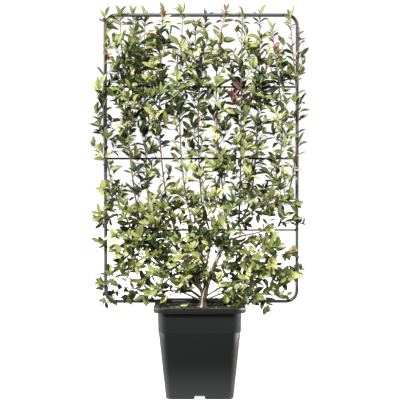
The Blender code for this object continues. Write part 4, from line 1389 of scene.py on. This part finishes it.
# A twig's angle to its stem, its radius at the tip, at the foot and what that gains with length, and
# the radius of the stick that stands for it while room is sought
TWIG_LIFTS = (30.0, 70.0)
TWIG_TIP_RADIUS = 0.0009
TWIG_FOOT_RADIUS = 0.0013
TWIG_GAIN = 0.008
TWIG_STICK = 0.0012
STEM_CHANCES = (("brown", 5), ("red", 3), ("green", 2))

# Twigs longer than this fork, at these places, into twigs of these lengths.
FORKS_FROM = 0.075
FORKS_AT = (0.35, 0.62)
FORK_REACHES = (0.030, 0.060)

# Leaves of a twig: the bare share at its foot, how its steps vary, where they end before the tip, the
# counts at the tip and their step, and the chance and number of young ones
BARE_TWIG = 0.30
STEP_VARIES = (0.8, 1.3)
BEFORE_TIP = 0.006
TIP_COUNTS = (3, 4, 4, 5)
TIP_STEP = 0.0022
YOUNG_SHARE = 0.6
YOUNG_COUNT = 3

# Leaves round a shoot's tip: how many high up and low down, their step, and the lowest and highest
# angle of the first and what each next one adds
HIGH_TIP_LEAVES = 12
LOW_TIP_LEAVES = 5
SHOOT_TIP_STEP = 0.0040
SHOOT_TIP_LIFTS = (12.0, 32.0)
SHOOT_TIP_SPREAD = (4.5, 5.5)

# A shoot's finer step, the share of it that is brown, for a long one and a short one, how far nodes
# are shifted either way, the share of nodes with a leaf of their own, and turns at one node
FINE_STEP = 0.012
LONG_SHOOT = 0.5
OLD_SHARE = 0.74
OLD_SHARE_SHORT = 0.55
NODE_SHIFT = 0.006
BOUGH_NODE_SHIFT = 0.005
NODE_LEAF_SHARE = 0.7
NODE_LEAF_TURN = 2.0
NODE_TWIG_TURN = 2.2


class Crown:
    """All the foliage while it grows: stems by kind, and leaves by tone."""

    def __init__(self, room, leaf, chance):
        self.room = room
        self.leaf = leaf
        self.chance = chance
        self.stems = defaultdict(list)
        self.leaves = defaultdict(list)
        self.owners = 0

    def new_owner(self):
        self.owners += 1
        return self.owners

    def pick(self, chances):
        names, weights = zip(*chances)
        return self.chance.choices(names, weights)[0]

    def add_stem(self, kind, points, radii, owner):
        self.stems[kind].append((points, radii))
        for a, b, radius in zip(points, points[1:], radii):
            pieces = max(1, math.ceil((b - a).length / LONGEST_STICK))
            for k in range(pieces):
                low, high = a.lerp(b, k / pieces), a.lerp(b, (k + 1) / pieces)
                self.room.fill(stem_tree(low, high, radius), (low + high) / 2, owner)

    def spray_tone(self, point, at_tip):
        """The tone of a whole spray, by where it grows."""
        for tint in TINTS:
            near = math.hypot(point.x - tint.x, point.z - tint.z) < tint.reach
            if near and self.chance.random() < TINT_SHARE:
                return tint.tone
        _, shade = fullness_at(point)
        if at_tip and point.z > TOP_LEAVES_ABOVE:
            return self.pick(TIP_CHANCES)
        # Painted shade: a spray in the shade takes the darker colours, and one in the open the lighter ones.
        if self.chance.random() < 0.5 + 0.5 * shade:
            return self.pick(SHADE_CHANCES)
        return self.pick(LOW_CHANCES if point.z < CALM_BELOW else OPEN_CHANCES)

    def leaf_tone(self, tone, along):
        """A leaf's tone in its spray: older near the foot, younger at the tip."""
        if tone not in GREENS:
            return tone if along > TINTED_FROM else "mid"
        step = 0
        if along > YOUNGER_FROM and self.chance.random() < YOUNGER_SHARE:
            step = 1
        elif along < OLDER_BEFORE and self.chance.random() < OLDER_SHARE:
            step = -1
        return GREENS[max(0, min(len(GREENS) - 1, GREENS.index(tone) + step))]

    def grow_leaf(self, name, root, axis, turn, lifts, kind, tone, owner):
        """Tries a few leaves at this place, and keeps the first that has room."""
        for attempt in range(TRIES):
            size = self.chance.uniform(*kind.lengths) * LEAF_SIZES.get(tone, 1.0)
            ratio = self.chance.uniform(*kind.ratios)
            lift = self.chance.uniform(*lifts)
            roll = self.chance.uniform(-LEAF_ROLL, LEAF_ROLL)
            direction = side_direction(axis, turn + attempt * self.chance.uniform(-TRY_TURN, TRY_TURN), lift)
            outward = math.copysign(1.0, direction.y + self.chance.uniform(-LOOK_DOUBT, LOOK_DOUBT))
            face = leaf_face(axis, direction, outward, roll)
            across = direction.cross(face)
            stalk = self.leaf.petiole * size / FULL_LEAF
            base = root + direction * stalk
            widest = base + direction * size * WIDEST_AT
            tip = base + direction * size - face * size * TIP_DROP
            probes = [base, *(widest + across * size * ratio / 2 * hand for hand in (1, -1)), tip]
            middle = base + direction * size * 0.5
            if self.chance.random() > fullness_at(middle)[0] or not self.room.holds(name, probes):
                continue
            tree = BVHTree.FromPolygons([tuple(probe) for probe in probes], [(0, 1, 3), (0, 3, 2)])
            if not self.room.free(tree, middle, owner):
                continue
            self.room.fill(tree, middle, owner)
            shape = self.chance.randrange(len(LEAF_SHAPES))
            turned = np.array((across * size * ratio, direction * size, face * size)).T
            self.leaves[tone].append((shape, turned, np.array(base)))
            self.stems["stalk"].append(([root, base + direction * size * STALK_OVERLAP], STALK_RADII))
            return

    def grow_twig(self, name, root, axis, turn, reaches, owner, forks=True):
        """Tries a few side twigs, and puts leaves on the first that has room."""
        for attempt in range(TRIES):
            reach = self.chance.uniform(*reaches)
            direction = side_direction(axis, turn + attempt * self.chance.uniform(-TRY_TURN, TRY_TURN),
                                       self.chance.uniform(*TWIG_LIFTS))
            low = root.z < LOW_LEAVES_BELOW
            droops = root.z < DROOP_BELOW or (low and self.chance.random() < LOW_DROOPS)
            points = bent_twig(root, direction, reach, self.chance.uniform(*(DROOP if droops else RISE)))
            if not self.room.holds(name, points[1:]):
                continue
            tree = stem_tree(points[1], points[-1], TWIG_STICK)
            if not self.room.free(tree, points[len(points) // 2], owner):
                continue
            twig = self.new_owner()
            radii = tapered(TWIG_FOOT_RADIUS + TWIG_GAIN * reach, TWIG_TIP_RADIUS, len(points))
            tone = self.spray_tone(points[-1], False)
            self.add_stem(self.pick(STEM_CHANCES), points, radii, twig)
            if forks and reach > FORKS_FROM:
                for portion in FORKS_AT:
                    side_root, side_axis = along_path(points, portion)
                    self.grow_twig(name, side_root, side_axis, self.chance.uniform(0.0, math.tau),
                                   FORK_REACHES, twig, forks=False)
            self.dress_twig(name, points, tone, twig)
            return

    def grow_bough_twigs(self, points, bare):
        """Side twigs along a bough, from a bare stretch at its foot on."""
        reach = path_length(points)
        owner = self.new_owner()
        step = self.leaf.node_step
        for place in range(1, int(reach / step)):
            gone = place * step + self.chance.uniform(-BOUGH_NODE_SHIFT, BOUGH_NODE_SHIFT)
            if gone < bare:
                continue
            root, axis = along_path(points, gone / reach)
            self.grow_twig(None, root, axis, GOLDEN_TURN * place, self.twig_reaches(root, 1.0), owner)

    def twig_reaches(self, root, full):
        """The shortest and longest twig at a place: the few low limbs have longer twigs between them."""
        longer = LOW_TWIGS if root.z < LOW_LEAVES_BELOW else 0.5 + 0.5 * min(1.0, full)
        return self.leaf.twig_low, self.leaf.twig_high * longer

    def dress_twig(self, name, points, tone, owner):
        """Leaves by turns along a twig, a whorl at its tip, and often a few young ones."""
        reach = path_length(points)
        kind = leaf_kind(points[-1])
        turn = self.chance.uniform(0.0, math.tau)
        place = reach * BARE_TWIG
        while place < reach - BEFORE_TIP:
            root, axis = along_path(points, place / reach)
            turn += GOLDEN_TURN
            leaf_tone = self.leaf_tone(tone, place / reach)
            self.grow_leaf(name, root, axis, turn, ALONG_TWIG, kind, leaf_tone, owner)
            place += self.leaf.leaf_step * self.chance.uniform(*STEP_VARIES)
        self.dress_tip(name, points, tone, owner, self.chance.choice(TIP_COUNTS))

    def dress_tip(self, name, points, tone, owner, count):
        axis = (points[-1] - points[-2]).normalized()
        kind = leaf_kind(points[-1])
        turn = self.chance.uniform(0.0, math.tau)
        for k in range(count):
            turn += GOLDEN_TURN
            self.grow_leaf(name, points[-1] - axis * TIP_STEP * k, axis, turn, AT_TIP, kind,
                           self.leaf_tone(tone, 1.0), owner)
        if self.chance.random() < YOUNG_SHARE:
            young = self.pick(YOUNG_CHANCES)
            for _ in range(YOUNG_COUNT):
                turn += GOLDEN_TURN
                self.grow_leaf(name, points[-1], axis, turn, AMONG_YOUNG, YOUNG_LEAF, young, owner)

    def dress_shoot_tip(self, name, points, owner):
        """Leaves round a shoot's tip, small ones with tones of their own where it stands over the crown."""
        high = points[-1].z > TOP_LEAVES_ABOVE
        kind = TIP_LEAF if high else leaf_kind(points[-1])
        reach = path_length(points)
        turn = self.chance.uniform(0.0, math.tau)
        for k in range(HIGH_TIP_LEAVES if high else LOW_TIP_LEAVES):
            turn += GOLDEN_TURN
            root, axis = along_path(points, 1.0 - SHOOT_TIP_STEP * k / reach)
            tone = self.spray_tone(root, True)
            lifts = [lift + more * k for lift, more in zip(SHOOT_TIP_LIFTS, SHOOT_TIP_SPREAD)]
            self.grow_leaf(name, root, axis, turn, lifts, kind, tone, owner)

    def grow_shoot(self, name, points):
        """A shoot with its side twigs, its own leaves and its tip."""
        owner = self.new_owner()
        fine = smooth_path(points, FINE_STEP)
        reach = path_length(fine)
        radii = tapered(*SHOOT_RADII, len(fine))
        young = int(len(fine) * (OLD_SHARE if reach > LONG_SHOOT else OLD_SHARE_SHORT))
        self.add_stem("brown", fine[:young + 1], radii[:young + 1], owner)
        self.add_stem("red", fine[young:], radii[young:], owner)
        self.dress_shoot_tip(name, fine, owner)
        places = list(range(1, int(reach / self.leaf.node_step)))
        self.chance.shuffle(places)
        for place in places:
            gone = place * self.leaf.node_step + self.chance.uniform(-NODE_SHIFT, NODE_SHIFT)
            root, axis = along_path(fine, gone / reach)
            full, _ = fullness_at(root)
            near_tip = reach - gone < (BARE_TIP if fine[-1].z > TOP_LEAVES_ABOVE else BARE_LOW_TIP)
            turn = GOLDEN_TURN * place
            twigs = 0 if near_tip else int(full) + (self.chance.random() < full % 1.0)
            for k in range(twigs):
                reaches = self.twig_reaches(root, full)
                self.grow_twig(name, root, axis, turn + k * NODE_TWIG_TURN, reaches, owner)
            if near_tip or self.chance.random() < NODE_LEAF_SHARE:
                tone = self.spray_tone(root, near_tip)
                turn += NODE_LEAF_TURN
                self.grow_leaf(name, root, axis, turn, ON_SHOOT, leaf_kind(root), tone, owner)


# How flat the crown grows: the share that is kept of a twig's way to the front or the back
FLATNESS = 0.65

# How much leaves look out from the frame's plane and up, where 1 is along their twig, and up to which
# slant to the plane a leaf can as well look out on the other side
LOOK_OUT = 0.9
LOOK_UP = 0.3
LOOK_DOUBT = 0.3

# The length of a twig's segments, and how strongly it bends for its rise
TWIG_SEGMENT = 0.016
TWIG_BEND = 1.6


def side_direction(axis, turn, lift):
    """A direction that leaves the axis at this lift, turned about it, and drawn to the frame's plane."""
    side = axis.orthogonal().normalized()
    out = side * math.cos(turn) + axis.cross(side) * math.sin(turn)
    out = Vector((out.x, out.y * FLATNESS, out.z)).normalized()
    angle = math.radians(lift)
    return axis * math.cos(angle) + out * math.sin(angle)


def leaf_face(axis, direction, outward, roll):
    """The upper side of a leaf: along its twig and out from the frame, turned about the leaf by roll."""
    look = axis + Vector((0.0, outward * LOOK_OUT, LOOK_UP))
    face = (look - direction * look.dot(direction)).normalized()
    return Matrix.Rotation(math.radians(roll), 3, direction) @ face


def bent_twig(root, direction, reach, rise):
    """Points of a twig that leaves in this direction and bends upwards, or down where rise is negative."""
    points = [root.copy()]
    heading = direction.copy()
    steps = max(3, round(reach / TWIG_SEGMENT))
    for _ in range(steps):
        heading = (heading + Vector((0.0, 0.0, rise / steps * TWIG_BEND))).normalized()
        points.append(points[-1] + heading * reach / steps)
    return points


def stem_tree(low, high, radius):
    """A three-sided stick, for overlap tests."""
    ahead = (high - low).normalized()
    side = ahead.orthogonal().normalized() * radius
    ring = [side, *(Matrix.Rotation(hand * math.tau / 3, 3, ahead) @ side for hand in (1, -1))]
    corners = [tuple(end + part) for end in (low, high) for part in ring]
    return BVHTree.FromPolygons(corners, [(0, 1, 4, 3), (1, 2, 5, 4), (2, 0, 3, 5)])


def smooth_path(points, step):
    """The same path with more points, rounded at its corners."""
    reach = path_length(points)
    count = max(4, round(reach / step))
    fine = [along_path(points, i / count)[0] for i in range(count + 1)]
    for _ in range(3):
        fine = [fine[0]] + [(a + b * 2 + c) / 4 for a, b, c in zip(fine, fine[1:], fine[2:])] + [fine[-1]]
    return fine


def shoot_paths(mass, paths):
    """The paths of a mass's shoots. The first goes on from its bough's tip."""
    points = paths[mass.bough]
    ahead = (points[-1] - points[-2]).normalized()
    found = []
    for shoot in mass.shoots:
        foot = along_path(found[0], shoot.along)[0] if found else points[-1] - ahead * 0.002
        tip = Vector((shoot.tip[0], mass.lane, shoot.tip[1]))
        found.append(curve_points(foot, tip, shoot.lean, SHOOT_STEP))
    return found


class PHOTINIA_OT_foliage(bpy.types.Operator):
    """Grows the shoots, twigs and leaves of each mass of foliage from its bough's tip"""

    bl_idname = "photinia.foliage"
    bl_label = "Grow the foliage"

    def execute(self, context):
        leaf = context.scene.photinia_leaf
        paths, _ = limb_feet()
        shoots = {mass.name: shoot_paths(mass, paths) for mass in FOLIAGE}
        crown = Crown(Room(shoots), leaf, random.Random(leaf.seed))
        for name, mass_shoots in shoots.items():
            for points in mass_shoots:
                crown.grow_shoot(name, points)
        for bough in BOUGHS:
            bare = BARE_FOOT_AT_TRUNK if bough.parent == "trunk" else BARE_FOOT
            if bough.name == "bough_right_leader":
                bare = BARE_LEADER
            crown.grow_bough_twigs(paths[bough.name], bare)
        self.make_stems(crown, leaf)
        self.make_leaves(crown, leaf)
        return {"FINISHED"}

    def make_stems(self, crown, leaf):
        colours = {"brown": leaf.brown_stem, "red": leaf.red_stem, "green": leaf.green_stem,
                   "stalk": leaf.green_stem}
        for kind, tubes in crown.stems.items():
            finish = new_finish(f"stem_{kind}", colours[kind], (0.4, 0.65), Grain(300.0, 0.0002),
                                Spots(scaled(colours[kind], 0.5), 90.0, 0.3))
            mesh = tubes_mesh(f"stems_{kind}", tubes, 0 if kind == "stalk" else 1)
            dress(f"stems_{kind}", mesh, [finish], [mass.name for mass in FOLIAGE])

    def make_leaves(self, crown, leaf):
        templates = [leaf_template(*shape) for shape in LEAF_SHAPES]
        glossy, veins = (leaf.gloss - 0.06, leaf.gloss + 0.08), Grain(160.0, 0.0004)
        for name, tone in TONES.items():
            if not crown.leaves[name]:
                continue
            pile = Pile()
            for shape, turned, base in crown.leaves[name]:
                corners, faces, sides = templates[shape]
                pile.add(corners @ turned.T + base, faces, sides)
            finishes = [
                new_finish(f"leaf_{name}_upper", tone.upper, glossy, veins, specular=0.28),
                new_finish(f"leaf_{name}_under", tone.under, (0.55, 0.72), veins, specular=0.20),
                new_finish(f"leaf_{name}_rib", tone.rib, (0.40, 0.55), Grain(160.0, 0.0002)),
            ]
            mesh = pile.mesh(f"leaves_{name}", sharp=50)
            dress(f"leaves_{name}", mesh, finishes, [mass.name for mass in FOLIAGE])


# Stage, lights and camera

WHITE = (1.0, 1.0, 1.0, 1.0)

# The floor as the plant is lit by it, as reflections and the export see it, and how brightly the
# camera sees it
GROUND_GREY = (0.22, 0.22, 0.21, 1.0)
FLOOR_GREY = (0.50, 0.50, 0.50)
FLOOR_GLOW = 0.86
FLOOR_RADIUS = 30.0

# The sky's brightness near the ground and overhead, and the backdrop's as the camera sees it
SKY_LOW = 0.35
SKY_HIGH = 2.6
BACKDROP = 1.05

# How far to the sides the bright walls start and are full, and how much brighter the right one is
WALLS_FROM = 0.40
WALLS_FULL = 0.92
WALLS_TILT = 0.5

KEY_DIRECTION = Vector((0.49, 0.84, -0.80))
KEY_SPREAD = math.radians(12.0)
KEY_COLOR = (1.0, 0.98, 0.93)


class PHOTINIA_OT_stage(bpy.types.Operator):
    """Sets the pale floor, the white surroundings, the lights and the camera"""

    bl_idname = "photinia.stage"
    bl_label = "Set the stage"

    def execute(self, context):
        stage = context.scene.photinia_stage
        self.lay_floor()
        self.light(context, stage)
        self.place_camera(context, stage)
        return {"FINISHED"}

    def lay_floor(self):
        bm = bmesh.new()
        place = Matrix.Translation((0, 0, -0.0005))
        bmesh.ops.create_circle(bm, cap_ends=True, segments=64, radius=FLOOR_RADIUS, matrix=place)
        floor = bpy.data.objects.new("floor", mesh_from(bm, "floor"))
        bpy.context.scene.collection.objects.link(floor)
        # The camera sees the floor as white paper, and the plant is lit by it as by grey ground.
        pale = new_finish("pale_floor", FLOOR_GREY, (0.9, 1.0), Grain(3.0, 0.0001))
        tree = pale.node_tree
        shader = tree.nodes["Principled BSDF"]
        shader.inputs["Emission Color"].default_value = WHITE
        shader.inputs["Emission Strength"].default_value = FLOOR_GLOW
        ground = add_node(tree, "BsdfDiffuse", {"Color": GROUND_GREY})
        path = add_node(tree, "LightPath")
        mix = add_node(tree, "MixShader", {"Fac": path.outputs["Is Camera Ray"], 1: ground.outputs["BSDF"],
                                           2: shader.outputs["BSDF"]})
        tree.links.new(mix.outputs["Shader"], tree.nodes["Material Output"].inputs["Surface"])
        floor.data.materials.append(pale)

    def light(self, context, stage):
        world = bpy.data.worlds.new("white_room")
        context.scene.world = world
        world.use_nodes = True
        tree = world.node_tree
        # The sky is bright overhead and grey all round.
        place = add_node(tree, "TexCoord")
        parts = add_node(tree, "SeparateXYZ", {"Vector": place.outputs["Generated"]})
        soft = tree.nodes["Background"]
        soft.inputs["Strength"].default_value = stage.sky
        height = smooth_step(tree, parts.outputs["Z"], -0.1, 0.9, SKY_LOW, SKY_HIGH)
        tree.links.new(height, soft.inputs["Color"])
        # Gloss mirrors the studio's white walls, brightest at the sides and most on the right.
        across = calculate(tree, "ABSOLUTE", parts.outputs["X"])
        walls = smooth_step(tree, across, WALLS_FROM, WALLS_FULL, stage.walls, stage.side_walls)
        tilt = calculate(tree, "MULTIPLY_ADD", parts.outputs["X"], WALLS_TILT, 1.0)
        sides = calculate(tree, "MULTIPLY", tilt, walls)
        path = add_node(tree, "LightPath")
        shown = soft.outputs["Background"]
        for ray, strength, color in (("Is Glossy Ray", 1.0, sides), ("Is Camera Ray", BACKDROP, WHITE)):
            white = add_node(tree, "Background", {"Strength": strength, "Color": color})
            mix = add_node(tree, "MixShader", {"Fac": path.outputs[ray], 1: shown, 2: white.outputs[0]})
            shown = mix.outputs["Shader"]
        tree.links.new(shown, tree.nodes["World Output"].inputs["Surface"])
        key = bpy.data.lights.new("key", "SUN")
        key.energy = stage.key
        key.angle = KEY_SPREAD
        key.color = KEY_COLOR
        lamp = bpy.data.objects.new("key", key)
        lamp.rotation_euler = KEY_DIRECTION.to_track_quat("-Z", "Y").to_euler()
        context.scene.collection.objects.link(lamp)
        context.scene.view_settings.view_transform = "Standard"

    def place_camera(self, context, stage):
        view = bpy.data.cameras.new("camera")
        view.lens = stage.lens
        view.sensor_width = 36.0
        camera = bpy.data.objects.new("camera", view)
        camera.location = (stage.side, -stage.distance, stage.height)
        camera.rotation_euler = (math.radians(90.0 - stage.tilt), 0.0, 0.0)
        context.scene.collection.objects.link(camera)
        context.scene.camera = camera


# Sidebar panel, registration and the run

STEPS = (PHOTINIA_OT_pot, PHOTINIA_OT_soil, PHOTINIA_OT_litter, PHOTINIA_OT_tube_frame,
         PHOTINIA_OT_limbs, PHOTINIA_OT_foliage, PHOTINIA_OT_stage)
SETTINGS = {
    "photinia_pot": PotSettings,
    "photinia_soil": SoilSettings,
    "photinia_tube": TubeSettings,
    "photinia_limb": LimbSettings,
    "photinia_leaf": LeafSettings,
    "photinia_stage": StageSettings,
}


class PHOTINIA_PT_panel(bpy.types.Panel):
    """Lists the plant's settings and the steps that make its pieces"""

    bl_idname = "PHOTINIA_PT_panel"
    bl_label = "Potted Photinia"
    bl_space_type = "VIEW_3D"
    bl_region_type = "UI"
    bl_category = "Photinia"

    def draw(self, context):
        for name, group in SETTINGS.items():
            box = self.layout.box()
            box.label(text=name.replace("photinia_", "").capitalize())
            for prop in group.__annotations__:
                box.prop(getattr(context.scene, name), prop)
        for step in STEPS:
            self.layout.operator(step.bl_idname)


def register():
    for cls in (*SETTINGS.values(), *STEPS, PHOTINIA_PT_panel):
        bpy.utils.register_class(cls)
    for name, group in SETTINGS.items():
        setattr(bpy.types.Scene, name, PointerProperty(type=group))


def unregister():
    for name in SETTINGS:
        delattr(bpy.types.Scene, name)
    for cls in (PHOTINIA_PT_panel, *reversed(STEPS), *SETTINGS.values()):
        bpy.utils.unregister_class(cls)


def main():
    register()
    bpy.ops.photinia.pot()
    bpy.ops.photinia.soil()
    bpy.ops.photinia.litter()
    bpy.ops.photinia.tube_frame()
    bpy.ops.photinia.limbs()
    bpy.ops.photinia.foliage()
    bpy.ops.photinia.stage()


if __name__ == "__main__":
    main()
